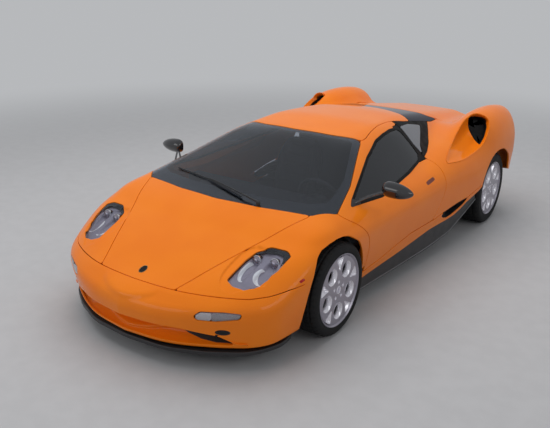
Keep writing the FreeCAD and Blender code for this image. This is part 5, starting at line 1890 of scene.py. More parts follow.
        # section columns: share from the inner side to the outer face, share from bottom to top
        section = np.array(((0.0, 0.0), (0.93, 0.0), (0.985, 0.02), (1.0, 0.07), (0.995, 0.12), (0.97, 0.18),
                            (0.955, 0.4), (0.955, 0.8), (0.95, 0.96), (0.92, 1.0), (0.0, 1.0)))
        inner = 0.80        # x of the skirt's inner side
        points = np.stack((inner + (outer[:, None] - inner) * section[:, 0],
                           np.broadcast_to(y[:, None], (len(y), len(section))),
                           low[:, None] + (high - low)[:, None] * section[:, 1]), -1)
        self.shop.pair("side_skirt", closed_loft(points), self.shop.finishes.satin, slot="black_trim",
                       replaces=["side_skirts"])
        # a grey bar along the skirt's lower edge: painted highlight
        edge = np.stack((outer - 1 * MM, y, low + 0.10 * (high - low)), -1)
        self.shop.pair("skirt_edge_painted_highlight", tube(edge, 3.2 * MM, 8), self.shop.finishes.grey_line, slot="black_trim")

    def handle(self) -> None:
        """The door's catch, its recess a thin dark-red lozenge that paints the recess's shadow, and the small
        lamp on the front wing.
        """
        shop = self.shop
        shop.pair("handle_flap", pill((0.125, 0.713), (0.262, 0.724), 8 * MM, 6 * MM), shop.finishes.paint,
                  "door_left", "paint")
        # a dark-red lozenge barely proud of the door: painted shadow in the handle's recess
        shop.pair("handle_recess_painted_shadow", pill((0.085, 0.690), (0.245, 0.706), 12 * MM, 1.2 * MM),
                  shop.finishes.deep_red, "door_left", "paint")
        shop.pair("side_marker", pill((-1.632, 0.526), (-1.606, 0.532), 8 * MM, 2 * MM),
                  shop.finishes.red_lens, slot="indicator")


def pill(start: tuple[float, float], end: tuple[float, float], radius: float, proud: float) -> Mesh:
    """A small round-ended lozenge that lies on the left flank, from one place in side view to another."""
    run = np.array(end) - np.array(start)
    ahead = run / np.linalg.norm(run)
    across = np.array((-ahead[1], ahead[0]))

    def dome(u: Array, v: Array) -> Array:
        """The lozenge's upper face over a polar grid, u outwards and v around."""
        turn = v * 2 * math.pi
        edge = radius * np.stack((np.cos(turn), np.sin(turn)), -1)
        core = np.where(np.cos(turn) > 0, np.linalg.norm(run), 0.0)
        middle = np.linalg.norm(run) / 2
        along = middle + (core - middle + edge[..., 0]) * u
        side = edge[..., 1] * u
        q = np.array(start) + along[..., None] * ahead + side[..., None] * across
        flat = q.reshape(-1, 2)
        p = Flank.on_side(flat).reshape(*q.shape[:-1], 3)
        n = FORM.normal(p)
        return p + n * (proud * np.sqrt(np.maximum(1 - u ** 4, 0.0)) - 1.0 * MM)[..., None]

    u, v = np.meshgrid(np.linspace(0.0, 1.0, 9), np.linspace(0.0, 1.0, 40, endpoint=False), indexing="ij")
    top = dome(u, v)
    n = FORM.normal(top)
    low = top - n * (proud + 3 * MM)
    loop = np.concatenate((top, low[::-1]))
    facing = np.concatenate((n, -n))
    return ring_mesh(loop, facing)


def closed_loft(points: Array) -> Mesh:
    """A closed solid through sections (along, around), crisp where the section turns sharply.

    Each face's corners carry the face's own normal, or the mean of two faces' where they meet softly.
    """
    flat = np.roll(points, -1, axis=1) - points
    along = np.gradient(points, axis=0)
    n = unit(np.cross(flat, along))
    centre = points.mean(1, keepdims=True)
    if np.sum(n * (points - centre)) < 0:
        n = -n
    before = np.roll(n, 1, axis=1)
    soft = np.sum(n * before, -1) > 0.75
    mean = unit(n + before)
    start = np.where(soft[..., None], mean, n)
    end = np.roll(np.where(soft[..., None], mean, before), -1, axis=1)
    rows, count = points.shape[:2]
    index = np.arange(rows * count).reshape(rows, count)
    a, d = index[:-1], index[1:]
    b, c = np.roll(a, -1, axis=1), np.roll(d, -1, axis=1)
    faces = quads(a.ravel(), b.ravel(), c.ravel(), d.ravel())
    normals = quad_normals(start[:-1], end[:-1], end[1:], start[1:])
    flatp = points.reshape(-1, 3)
    if np.sum(spins(flatp, faces) * normals.mean(1)) < 0:
        faces, normals = faces[:, ::-1].copy(), normals[:, ::-1].copy()
    caps = []
    for ring, near in ((index[0], -1.0), (index[-1], 1.0)):
        middle = points.reshape(-1, 3)[ring].mean(0)
        out = unit(along[0 if near < 0 else -1].mean(0)) * near
        fan = np.stack((np.repeat(len(flatp) + (0 if near < 0 else 1), count), ring, np.roll(ring, -1)), 1)
        turn = np.cross(flatp[fan[:, 1]] - middle, flatp[fan[:, 2]] - middle).sum(0) @ out
        caps.append((fan if turn > 0 else fan[:, ::-1].copy(), out, middle))
    all_faces = np.concatenate([faces] + [cap[0] for cap in caps])
    all_normals = np.concatenate([normals] + [np.broadcast_to(cap[1], (count, 3, 3)) for cap in caps])
    return Mesh(np.concatenate((flatp, caps[0][2][None], caps[1][2][None])), all_faces, all_normals)


def plate(outline: Cut, level: float, across: tuple[float, float], along: tuple[float, float],
          thickness: float, roll: float, step: float = 10 * MM) -> Mesh:
    """A flat plate under an outline in plan, its upper edge rounded.

    Args:
        level: the height of its upper face.
        across: where its grid starts and ends in x.
        along: where it starts and ends in y.
        roll: the radius of the upper edge.
        step: the grid's size.

    Returns:
        The closed mesh.
    """
    size = np.array((across[1] - across[0], along[1] - along[0]))

    def flat(u: Array, v: Array) -> Array:
        """A point of the level sheet."""
        return np.stack((across[0] + u * size[0], along[0] + v * size[1], level + 0 * u), -1)

    patch = FormulaPatch(flat, int(size[0] / step) + 2, int(size[1] / step) + 2)
    points, normals, faces, ways = cut_patch(patch, [outline], roll)
    return shell(points, normals, faces, ways, thickness, roll)


@dataclass
class Wheel:
    """One wheel about its own axle: tyre, cast rim with its cups and pockets, disc and caliper.

    Lengths along the axle are measured from the wheel's middle, positive outwards.
    """

    shop: Workshop
    hand: str
    end: str
    centre: tuple[float, float, float]
    radius: float
    width: float
    rim: float = 0.243
    spokes: int = 5
    cup_circle: float = 0.146
    cup_radius: float = 0.056
    bolt_circle: float = 0.056
    grooves: Sequence[float] = (-0.62, -0.2, 0.2, 0.62)     # across the tread, in halves of its width
    # one outer pocket, columns: place outwards, place sideways, corner radius
    pocket_shape: Rows = ((0.130, 0.0, 0.012), (0.170, 0.016, 0.05), (0.216, 0.044, 0.012), (0.225, 0.0, 0.2),
                          (0.216, -0.044, 0.012), (0.170, -0.016, 0.05))

    @property
    def half(self) -> float:
        """Half the tyre's width."""
        return self.width / 2

    @property
    def face(self) -> float:
        """How far out the rim's face lies."""
        return self.half - 11 * MM

    def tyre(self) -> Mesh:
        """The tyre: a closed section carried round, with grooves pressed into the tread.

        A groove round the wheel is a smooth pulse across the tread, and the shoulder's cross
        grooves are where a slanted sine about the axle nears its top.
        """
        half, r = self.half, self.radius
        wall = [(self.rim - 0.011, half - 0.020), (self.rim + 0.003, half - 0.005),
                (self.rim + 0.012, half - 0.001), (self.rim + 0.016, half - 0.0025),
                (self.rim + 0.020, half - 0.0005), (r - 0.034, half), (r - 0.022, half - 0.004),
                (r - 0.012, half - 0.011), (r - 0.005, half - 0.019)]
        across = np.linspace(half - 0.028, 0.028 - half, 45)
        section = np.array(wall + [(r, x) for x in across] + [(a, -b) for a, b in reversed(wall)])
        turn = once_round(288)
        grooves = sum(smooth(0.0075 - np.abs(section[:, 1] - x * half), 0.0, 0.004) for x in self.grooves)
        crown = np.abs(section[:, 1]) < half - 0.012
        slant = np.sin(48 * turn[:, None] + 22.0 * np.abs(section[None, :, 1]))
        cross = smooth(slant, 0.55, 0.95) * (np.abs(section[:, 1]) > 0.3 * half) * 0.7
        drop = 7 * MM * np.maximum(grooves * crown, cross * crown)
        reach = section[None, :, 0] - drop
        points = np.stack((np.broadcast_to(section[:, 1], reach.shape), reach * np.cos(turn)[:, None],
                           reach * np.sin(turn)[:, None]), -1)
        return wrapped(points, along_closed=True)

    def barrel(self) -> Mesh:
        """The rim's barrel with a thin flange at each side."""
        h, r = self.half, self.rim
        rows = [(r - 0.014, h - 0.016), (r - 0.007, h - 0.007), (r - 0.003, h - 0.0035),
                (r + 0.0005, h - 0.004), (r + 0.001, h - 0.009), (r - 0.010, h - 0.022),
                (r - 0.022, h - 0.05), (r - 0.030, h - 0.09), (r - 0.030, 0.04 - h), (r - 0.010, 0.022 - h),
                (r, 0.009 - h), (r, 0.005 - h), (r - 0.005, 0.005 - h), (r - 0.016, 0.024 - h),
                (r - 0.038, 0.05 - h), (r - 0.038, h - 0.09), (r - 0.030, h - 0.05), (r - 0.022, h - 0.026)]
        return lathe(rows, 128)

    def spoke(self, turn: float, cup: Mesh, bolt: Mesh) -> tuple[list[Cut], list[Mesh]]:
        """What opens in the face at one cup and between it and the next.

        Args:
            turn: the cup's angle about the axle.
            cup: the cup's shape, about its own middle.
            bolt: the bolt's.

        Returns:
            The face's cuts, and the cup, the pocket, the bolt's recess and the bolt.
        """
        between = turn + math.pi / self.spokes
        y, z = self.cup_circle * math.cos(turn), self.cup_circle * math.sin(turn)
        cuts = [~Disc(Plane.SIDE, (y, z), self.cup_radius + 0.5 * MM)]
        made = [cup.moved(shift(self.face - 1.5 * MM, y, z))]
        ahead = np.array((math.cos(between), math.sin(between)))
        side = np.array((-ahead[1], ahead[0]))
        outline = Outline(Plane.SIDE, [(*(a * ahead + b * side), r) for a, b, r in self.pocket_shape])
        cuts.append(~outline)
        loop = np.concatenate((np.full((len(outline.points), 1), self.face - 0.5 * MM), outline.points), 1)
        made.append(pocket(loop, -X, 16 * MM, 0.62))
        y, z = self.bolt_circle * ahead
        cuts.append(~Disc(Plane.SIDE, (y, z), 0.0125))
        circle = once_round(24)
        loop = np.stack((0 * circle + self.face - 4.5 * MM, y + 0.012 * np.cos(circle),
                         z + 0.012 * np.sin(circle)), -1)
        made += [pocket(loop, -X, 12 * MM, 0.9), bolt.moved(shift(self.face - 12 * MM, y, z))]
        return cuts, made

    def cast_face(self) -> tuple[Mesh, list[Mesh]]:
        """The flat star-shaped face, and the cups and pockets that open in it."""
        size = self.rim - 0.006

        def sheet(u: Array, v: Array) -> Array:
            """A shallow bowl: the face falls back a little towards the axle."""
            y, z = (2 * u - 1) * size, (2 * v - 1) * size
            reach = np.hypot(y, z)
            return np.stack((self.face - 5 * MM * (1 - smooth(reach, 0.05, 0.2)), y, z), -1)

        patch = FormulaPatch(sheet, 72, 72)
        cuts: list[Cut] = [Disc(Plane.SIDE, (0.0, 0.0), size - 8 * MM), ~Disc(Plane.SIDE, (0.0, 0.0), 0.020)]
        extras = []
        r = self.cup_radius
        cup = lathe([(r, 0.0), (r - 0.003, -0.0015), (r - 0.014, -0.016), (r - 0.015, -0.034),
                     (r - 0.011, -0.034), (r + 0.0015, -0.005)], 56)
        bolt = lathe([(0.0, 0.004), (0.0055, 0.004), (0.0075, 0.002), (0.0078, -0.012), (0.0, -0.012)], 12,
                     sharp=20)
        for k in range(self.spokes):
            more_cuts, more = self.spoke(-math.pi / 2 + 2 * math.pi * k / self.spokes, cup, bolt)
            cuts += more_cuts
            extras += more
        face = shell(*cut_patch(patch, cuts, 1 * MM), 9 * MM, 1 * MM)
        hub = lathe([(0.0195, 0.001), (0.023, 0.003), (0.026, 0.001), (0.026, -0.03), (0.0, -0.03),
                     (0.0, -0.02), (0.017, -0.02), (0.0185, -0.004)], 40)
        extras.append(hub.moved(shift(self.face - 5 * MM, 0.0, 0.0)))
        return face, extras

    def brake(self) -> tuple[Mesh, Mesh]:
        """The vented disc, and the caliper behind the axle."""
        x = self.face - 75 * MM
        disc = lathe([(0.07, x + 0.014), (0.162, x + 0.014), (0.163, x + 0.005), (0.155, x + 0.004),
                      (0.155, x - 0.004), (0.163, x - 0.005), (0.162, x - 0.014), (0.07, x - 0.014)], 96)
        turn = np.linspace(math.radians(150), math.radians(210), 24)
        section = np.array(((0.098, -0.034), (0.168, -0.034), (0.180, -0.024), (0.180, 0.024), (0.168, 0.034),
                            (0.098, 0.034), (0.094, 0.022), (0.094, -0.022)))
        ring = np.stack([np.stack((x + section[:, 1], section[:, 0] * math.cos(t),
                                   section[:, 0] * math.sin(t)), -1)
                         for t in turn])
        return disc, closed_loft(ring)

    def build(self) -> None:
        """The wheel's pieces, placed on its hub."""
        finishes = self.shop.finishes
        tag = f"{self.end}_{self.hand}"
        body = f"wheel_{tag}"
        carrier = f"knuckle_{self.hand}" if self.end == "front" else "chassis"
        place = shift(abs(self.centre[0]), *self.centre[1:])
        face, extras = self.cast_face()
        disc, caliper = self.brake()
        # the disc's turned metal is made near black, far darker than bare steel: painted shade behind the
        # wheel's face
        disc_painted_shade = Turned(f"metal_turned_painted_shade_{tag}", (0.10, 0.10, 0.105), self.centre[1:]).build()
        for name, mesh, material, rides, slot, stands in (
                ("tyre", self.tyre(), finishes.rubber, body, "tyre", [f"tyre_{tag}"]),
                ("rim_barrel", self.barrel(), finishes.silver, body, "rim", [f"rim_{tag}"]),
                ("rim_face", face, finishes.silver, body, "rim", ()),
                # the cups, pockets, bolts and hub take the lighter copy of the alloy: painted light
                ("rim_cups", Mesh.joined(extras), finishes.bright_silver, body, "rim", ()),
                ("brake_disc", disc, disc_painted_shade, body, "casting", ()),
                ("caliper", caliper, finishes.caliper, carrier, "casting", ())):
            mesh = mesh.moved(place)
            self.shop.piece(f"{name}_{tag}", mesh.mirrored() if self.hand == "right" else mesh, material,
                            rides, slot, stands)


@dataclass
class Mirrors:
    """Glossy teardrop mirror heads on twin arms."""

    shop: Workshop
    body: Bodywork
    inner: float = 0.900
    outer: float = 1.125
    thickest: float = 0.34
    height: float = 0.056
    middle: tuple[float, float] = (-0.634, 0.846)
    rear: float = -0.616
    sail: Rows = ((-0.925, 0.764, 0.01), (-0.76, 0.757, 0.02), (-0.845, 0.80, 0.01))
    arms: Rows = ((0.802, -0.845, 0.772, 0.935, -0.655, 0.832), (0.800, -0.775, 0.776, 0.950, -0.645, 0.826))

    def head(self) -> Mesh:
        """Ovals along the car's width: blunt near the door, drawn out to a point, flat behind."""
        t = np.linspace(0.0, 1.0, 40)
        blunt = t < self.thickest
        away = np.abs(t - self.thickest) / np.where(blunt, self.thickest, 1 - self.thickest)
        oval = np.maximum(1 - away ** np.where(blunt, 3.4, 2.0), 0.0)
        size = self.height * oval ** np.where(blunt, 0.42, 0.62) + 0.4 * MM
        turn = once_round(40)
        ahead = np.cos(turn)[None] * size[:, None]
        ahead = np.where(ahead > 0, ahead * 0.95, ahead * 0.25)
        x = self.inner + t * (self.outer - self.inner)
        points = np.stack((np.broadcast_to(x[:, None], ahead.shape), self.middle[0] - ahead,
                           self.middle[1] - 0.006 * t[:, None] + np.sin(turn)[None] * size[:, None]), -1)
        return wrapped(points)

    def build(self) -> None:
        """Heads, glasses, arms and the black triangle they stand on."""
        shop, finishes = self.shop, self.shop.finishes
        shop.pair("mirror_head", self.head(), finishes.gloss, "door_left", "black_trim", ["mirror_left"])
        turn = once_round(40)
        # columns: the ring's share of the glass's size, and how far it stands behind the front
        rings = ((0.02, 0.0), (0.6, 0.0), (0.97, 0.0), (1.0, -0.001), (0.98, -0.006), (0.02, -0.006))
        glass = np.stack([np.stack((self.inner + 0.088 + 0.072 * k * np.cos(turn),
                                    self.rear - 0.002 + depth + 0 * turn,
                                    self.middle[1] - 0.002 + 0.042 * k * np.sin(turn)), -1)
                          for k, depth in rings])
        shop.pair("mirror_glass", wrapped(glass), finishes.chrome, "door_left", "headlamp")
        bars = []
        t = np.linspace(0.0, 1.0, 16)[:, None]
        for arm in np.array(self.arms):
            path = arm[:3] * (1 - t) + arm[3:] * t + Z * 0.010 * np.sin(math.pi * t)
            bars.append(tube(path, 0.0085 - 0.002 * t[:, 0], 16))
        shop.pair("mirror_arms", Mesh.joined(bars), finishes.gloss, "door_left", "black_trim")
        sail = self.body.panel([drawn(Plane.SIDE, self.sail)], half=True, wall=10 * MM, lift=3 * MM, gap=0.0)
        shop.pair("mirror_sail", sail, finishes.satin, "door_left", "black_trim")


@dataclass
class Wiper:
    """The single wiper: spindle, arm and blade, lying on the screen."""

    shop: Workshop
    # columns: x, y, height over the glass
    arm: Rows = ((0.319, -1.262, 0.020), (0.20, -1.238, 0.026), (0.0, -1.190, 0.024), (-0.185, -1.143, 0.018))
    blade: Rows = ((0.16, -1.235, 0.008), (-0.185, -1.143, 0.009), (-0.554, -1.067, 0.008))

    @staticmethod
    def over(rows: Rows, count: int) -> Array:
        """Points over the glass along a line in plan."""
        table = np.array(rows)
        t = np.linspace(0, len(table) - 1, count)
        x, y, lift = (np.interp(t, np.arange(len(table)), table[:, k]) for k in range(3))
        p = FORM.above(x, y, 0.9)
        return p + FORM.normal(p) * lift[:, None]

    def build(self) -> None:
        """The pieces, all fixed to the scuttle."""
        satin = self.shop.finishes.satin
        arm = self.over(self.arm, 30)
        blade = self.over(self.blade, 60)
        low = self.over([(x, y, lift - 5 * MM) for x, y, lift in self.blade], 60)
        radius = np.interp(np.linspace(0, 1, 30), (0.0, 0.15, 1.0), (0.009, 0.0065, 0.004))
        boss = lathe([(0.0, 0.022), (0.010, 0.021), (0.014, 0.016), (0.015, -0.02), (0.0, -0.02)], 32)
        up = FORM.normal(arm[:1])[0]
        boss = boss.moved(frame_along(up, arm[0] - up * 0.014))
        self.shop.piece("wiper_arm", Mesh.joined([tube(arm, radius), boss]), satin, slot="black_trim")
        self.shop.piece("wiper_blade", Mesh.joined([tube(blade, 0.0035, 8), tube(low, 0.0025, 8)]), satin,
                        slot="black_trim")


@dataclass
class Tail:
    """The rear bumper with its round lamps, grille, twin pipes and diffuser."""

    shop: Workshop
    seams: Seams
    body: Bodywork
    lamps: Rows = ((0.455, 0.65), (0.58, 0.65))
    lamp_radius: float = 0.054
    grille: tuple[float, float, float] = (0.380, 0.562, 0.738)      # half-width, low, high
    pipes: tuple[float, float] = (0.070, 0.345)
    lowest: float = 0.262
    fins: Sequence[float] = (-0.66, -0.44, -0.22, 0.0, 0.22, 0.44, 0.66)
    ramp_front: float = 1.895       # y of the diffuser's front edge
    rearmost: float = 2.19          # and the furthest back it reaches

    def on_tail(self, q: Array) -> Array:
        """Points of a rear view outline (x, z) carried back to the shell."""
        start = np.stack((q[:, 0], 0 * q[:, 0] + 1.7, q[:, 1]), -1)
        return FORM.leave(start, Y, 0.7)

    def build(self) -> None:
        """The bumper and all that is set in it."""
        shop, finishes = self.shop, self.shop.finishes
        wide, low, high = self.grille
        opening = Outline(Plane.FRONT, [(-wide, low, 0.03), (wide, low, 0.03), (wide, high, 0.03),
                                        (-wide, high, 0.03)])
        outlet = Disc(Plane.FRONT, (0.0, self.pipes[1]), 0.052, 2.6)
        rounds = [Disc(Plane.FRONT, place, self.lamp_radius) for x, z in self.lamps
                  for place in ((x, z), (-x, z))]
        cuts = [Half(1, self.seams.tail_place), ~opening, ~outlet, *[~r for r in rounds],
                Half(2, self.lowest), ~self.seams.behind]
        shop.piece("rear_bumper", self.body.panel(cuts, self.body.tail_patch), finishes.paint, slot="paint",
                   replaces=["rear_bumper"])
        box = pocket(self.on_tail(opening.points) - Y * 3 * MM, -Y, 0.06, 0.97)
        shop.piece("grille_box", box, finishes.satin, slot="grille")
        bars = [block((-wide + 0.006, 2.168, z - 0.003), (wide - 0.006, 2.190, z + 0.003), 2 * MM)
                for z in np.linspace(low + 0.022, high - 0.022, 6)]
        bars += [block((x - 0.003, 2.172, low + 0.006), (x + 0.003, 2.186, high - 0.006), 2 * MM)
                 for x in np.linspace(-wide, wide, 16)[1:-1]]
        shop.piece("grille_bars", Mesh.joined(bars), finishes.coarse, slot="grille", replaces=["rear_grille"])
        self.rounds()
        self.outlets()
        self.diffuser()

    def rounds(self) -> None:
        """Each lamp is a bowl, a ribbed red dome with a clear eye, and a dark ring."""
        finishes, r = self.shop.finishes, self.lamp_radius
        ring = [(r - 0.001, -0.004), (r, 0.0015), (r + 0.004, 0.003), (r + 0.007, 0.0005),
                (r + 0.006, -0.006), (r - 0.001, -0.030)]
        dome = [(0.020, 0.010), (r * 0.55, 0.0095), (r * 0.82, 0.006), (r * 0.95, 0.001), (r * 0.96, -0.004),
                (r * 0.80, 0.002), (r * 0.55, 0.0055), (0.020, 0.006)]
        eye = [(0.0, 0.012), (0.012, 0.0115), (0.0195, 0.009), (0.0195, 0.005), (0.0, 0.005)]
        bowl = [(0.0, -0.028), (r * 0.5, -0.026), (r * 0.85, -0.016), (r * 0.97, -0.003), (r * 1.0, -0.003),
                (r * 0.9, -0.019), (r * 0.5, -0.031), (0.0, -0.032)]
        for name, section, finish, stands in (("ring", ring, finishes.satin, ["tail_lamps"]),
                                              ("dome", dome, finishes.red_lens, ()),
                                              ("eye", eye, finishes.pale_lens, ()),
                                              ("bowl", bowl, finishes.reflector, ())):
            lamp = lathe(section, 56, sharp=50.0)
            centres = [self.on_tail(np.array((place,))) for place in self.lamps]
            parts = [lamp.moved(frame_along(FORM.normal(centre)[0], centre[0])) for centre in centres]
            self.shop.pair(f"tail_lamp_{name}", Mesh.joined(parts), finish, slot="tail_lamp", replaces=stands)

    def outlets(self) -> None:
        """Twin polished pipes in one dark oval."""
        turn = once_round(64)
        loop = self.on_tail(np.stack((0.1352 * np.cos(turn), self.pipes[1] + 0.052 * np.sin(turn)), -1))
        self.shop.piece("outlet_well", pocket(loop - Y * 3 * MM, -Y, 0.09, 0.96), self.shop.finishes.coarse,
                        slot="grille")
        pipe = lathe([(0.034, -0.26), (0.034, -0.006), (0.0355, -0.001), (0.038, 0.0), (0.0405, -0.003),
                      (0.041, -0.010), (0.041, -0.26)], 56)
        plug = lathe([(0.0, -0.15), (0.034, -0.15), (0.034, -0.155), (0.0, -0.155)], 40)
        place = frame_along(Y, np.array((self.pipes[0], 2.22, self.pipes[1])))
        self.shop.pair("exhaust_pipe", pipe.moved(place), self.shop.finishes.exhaust, slot="exhaust",
                       replaces=["exhausts"])
        self.shop.pair("exhaust_inside", plug.moved(place), self.shop.finishes.coarse, slot="exhaust")

    def diffuser(self) -> None:
        """A black ramp that rises rearwards, with upright fins under it."""
        u, v = np.meshgrid(np.linspace(-0.755, 0.755, 40), np.linspace(0.0, 1.0, 12), indexing="ij")
        rear = np.minimum(profile(np.abs(u), FORM.tail_plan, 0.2) - 0.045, self.rearmost)
        y, z = self.ramp_front + (rear - self.ramp_front) * v, 0.172 + 0.064 * v ** 1.5
        parts = [slab(np.stack((u, y, z), -1), 12 * MM)]
        for x in self.fins:
            end = float(np.minimum(profile(np.array(abs(x)), FORM.tail_plan, 0.2) - 0.052, 2.185))
            parts.append(block((x - 0.005, 1.90, 0.150), (x + 0.005, end, 0.205), 3 * MM))
        self.shop.piece("diffuser_fins", Mesh.joined(parts), self.shop.finishes.satin, slot="black_trim",
                        replaces=["diffuser"])


@dataclass
class Cabin:
    """Two leather seats, each a cushion and a reclined back, swollen as cloth under pressure."""

    shop: Workshop
    # rows: name, lowest corner, highest corner, rearward lean per metre of height, the node it stands for
    pads: Sequence[tuple] = (
        ("seat_cushion", (0.158, -0.420, 0.158), (0.622, 0.080, 0.306), 0.0, "seat_bases"),
        ("seat_back", (0.158, 0.118, 0.172), (0.622, 0.212, 0.818), 0.33, "seat_backs"))
    voxel: float = 6 * MM
    cap: float = 12 * MM
    frames: int = 20

    def build(self) -> None:
        """Both seats' pads."""
        for name, low, high, lean, node in self.pads:
            for hand, sign in (("left", 1.0), ("right", -1.0)):
                shape = self.form(np.array(low), np.array(high), lean)
                made = self.shop.piece(f"{name}_{hand}", shape if sign > 0 else shape.mirrored(),
                                       self.shop.finishes.leather, slot="seat",
                                       replaces=[node] if sign > 0 else ())
                self.remesh(made)
                self.swell(made)
                self.sew(made, np.array(low), np.array(high), lean)

    @staticmethod
    def form(low: Array, high: Array, lean: float) -> Mesh:
        """A rounded pad with raised bolsters at its sides.

        A point is the middle plus the half size times powers of sines and cosines, which square a
        ball off; the wide faces are then lowered between the bolsters.
        """
        turn, rise = np.meshgrid(once_round(96),
                                 np.linspace(-math.pi / 2 + 0.02, math.pi / 2 - 0.02, 61))
        def power(w: Array) -> Array:
            """A sine or cosine pushed towards its limits."""
            return np.sign(w) * np.abs(w) ** 0.38
        ball = np.stack((power(np.cos(rise)) * power(np.cos(turn)), power(np.cos(rise)) * power(np.sin(turn)),
                         power(np.sin(rise))), -1)
        middle, half = (low + high) / 2, (high - low) / 2 - 6 * MM
        p = middle + ball * half
        well = smooth(np.abs(ball[..., 0]), 0.85, 0.45)
        if lean:
            p[..., 1] += 0.030 * well * (ball[..., 1] < 0) * -ball[..., 1] + lean * (p[..., 2] - low[2])
            p[..., 0] = middle[0] + (p[..., 0] - middle[0]) * (1 - 0.22 * smooth(ball[..., 2], 0.35, 1.0))
        else:
            p[..., 2] -= 0.028 * well * (ball[..., 2] > 0) * ball[..., 2]
        return wrapped(p)

    def remesh(self, made: bpy.types.Object) -> None:
        """Even quads all over, ready for cloth."""
        modifier = made.modifiers.new("even", "REMESH")
        modifier.mode = "VOXEL"
        modifier.voxel_size = self.voxel
        modifier.use_smooth_shade = True
        self.settle(made, modifier)

    @staticmethod
    def rows_of(data: bpy.types.Mesh, name: str) -> Array:
        """What each vertex holds under a name, one row a vertex."""
        values = np.empty(len(data.vertices) * 3)
        data.vertices.foreach_get(name, values)
        return values.reshape(-1, 3)

    @staticmethod
    def settle(made: bpy.types.Object, modifier: bpy.types.Modifier) -> None:
        """The modifier's result becomes the piece's mesh."""
        graph = bpy.context.evaluated_depsgraph_get()
        material = made.data.materials[0]
        data = bpy.data.meshes.new_from_object(made.evaluated_get(graph))
        made.modifiers.remove(modifier)
        made.data = data
        data.materials.clear()
        data.materials.append(material)

    def swell(self, made: bpy.types.Object) -> None:
        """Cloth under pressure for a few frames, no point further than the cap from where it was."""
        before = self.rows_of(made.data, "co")
        modifier = made.modifiers.new("cloth", "CLOTH")
        settings = modifier.settings
        settings.use_pressure = True
        settings.uniform_pressure_force = 4.0
        settings.effector_weights.gravity = 0.0
        settings.quality = 3
        modifier.point_cache.frame_start, modifier.point_cache.frame_end = 1, self.frames
        scene = bpy.context.scene
        for number in range(1, self.frames + 1):
            scene.frame_set(number)
        graph = bpy.context.evaluated_depsgraph_get()
        soft = made.evaluated_get(graph).to_mesh()
        after = self.rows_of(soft, "co")
        made.evaluated_get(graph).to_mesh_clear()
        made.modifiers.remove(modifier)
        scene.frame_set(1)
        step = after - before
        size = np.linalg.norm(step, axis=1, keepdims=True)
        after = before + step * np.minimum(1.0, self.cap / np.maximum(size, 1e-9))
        made.data.vertices.foreach_set("co", after.ravel())
        made.data.update()

    @staticmethod
    def sew(made: bpy.types.Object, low: Array, high: Array, lean: float) -> None:
        """Stitched channels pressed across the middle, and a seam beside each bolster."""
        data = made.data
        co, normal = Cabin.rows_of(data, "co"), Cabin.rows_of(data, "normal")
        across = np.abs(np.abs(co[:, 0]) - (low[0] + high[0]) / 2) / (high[0] - low[0]) * 2
        axis, pitch = (2, 0.082) if lean else (1, 0.075)
        facing = -normal[:, 1] if lean else normal[:, 2]
        place = (co[:, axis] - low[axis]) / pitch
        channel = bump(place - np.round(place), 0.0, 0.10) * smooth(across, 0.62, 0.52)
        seam = bump(across, 0.60, 0.035)
        depth = 6 * MM * np.maximum(channel, seam) * smooth(facing, 0.3, 0.7)
        data.vertices.foreach_set("co", (co - normal * depth[:, None]).ravel())
        data.update()


# the finish of each CAD node that stays in view
KEPT = {"arch_liners": "coarse", "floor_pan": "coarse", "front_bay": "coarse", "bulkheads": "carpet",
        "engine": "steel", "suspension": "steel", "knuckle_left": "steel", "knuckle_right": "steel",
        "dashboard": "leather", "steering_wheel": "leather"}


def dress_kept(finishes: Finishes) -> None:
    """Gives each CAD node that stays in view its own finish."""
    for name, finish in KEPT.items():
        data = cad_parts[name].data
        data.materials.clear()
        data.materials.append(getattr(finishes, finish))
        log.info("%s: %s", name, finish)
    plain = [name for name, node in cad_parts.items() if not node.hide_render and name not in KEPT]
    if plain:
        log.warning("no finish: %s", plain)


# ------------------------------------------------------------------ studio
SKY: Colour = (0.95, 0.97, 1.0)


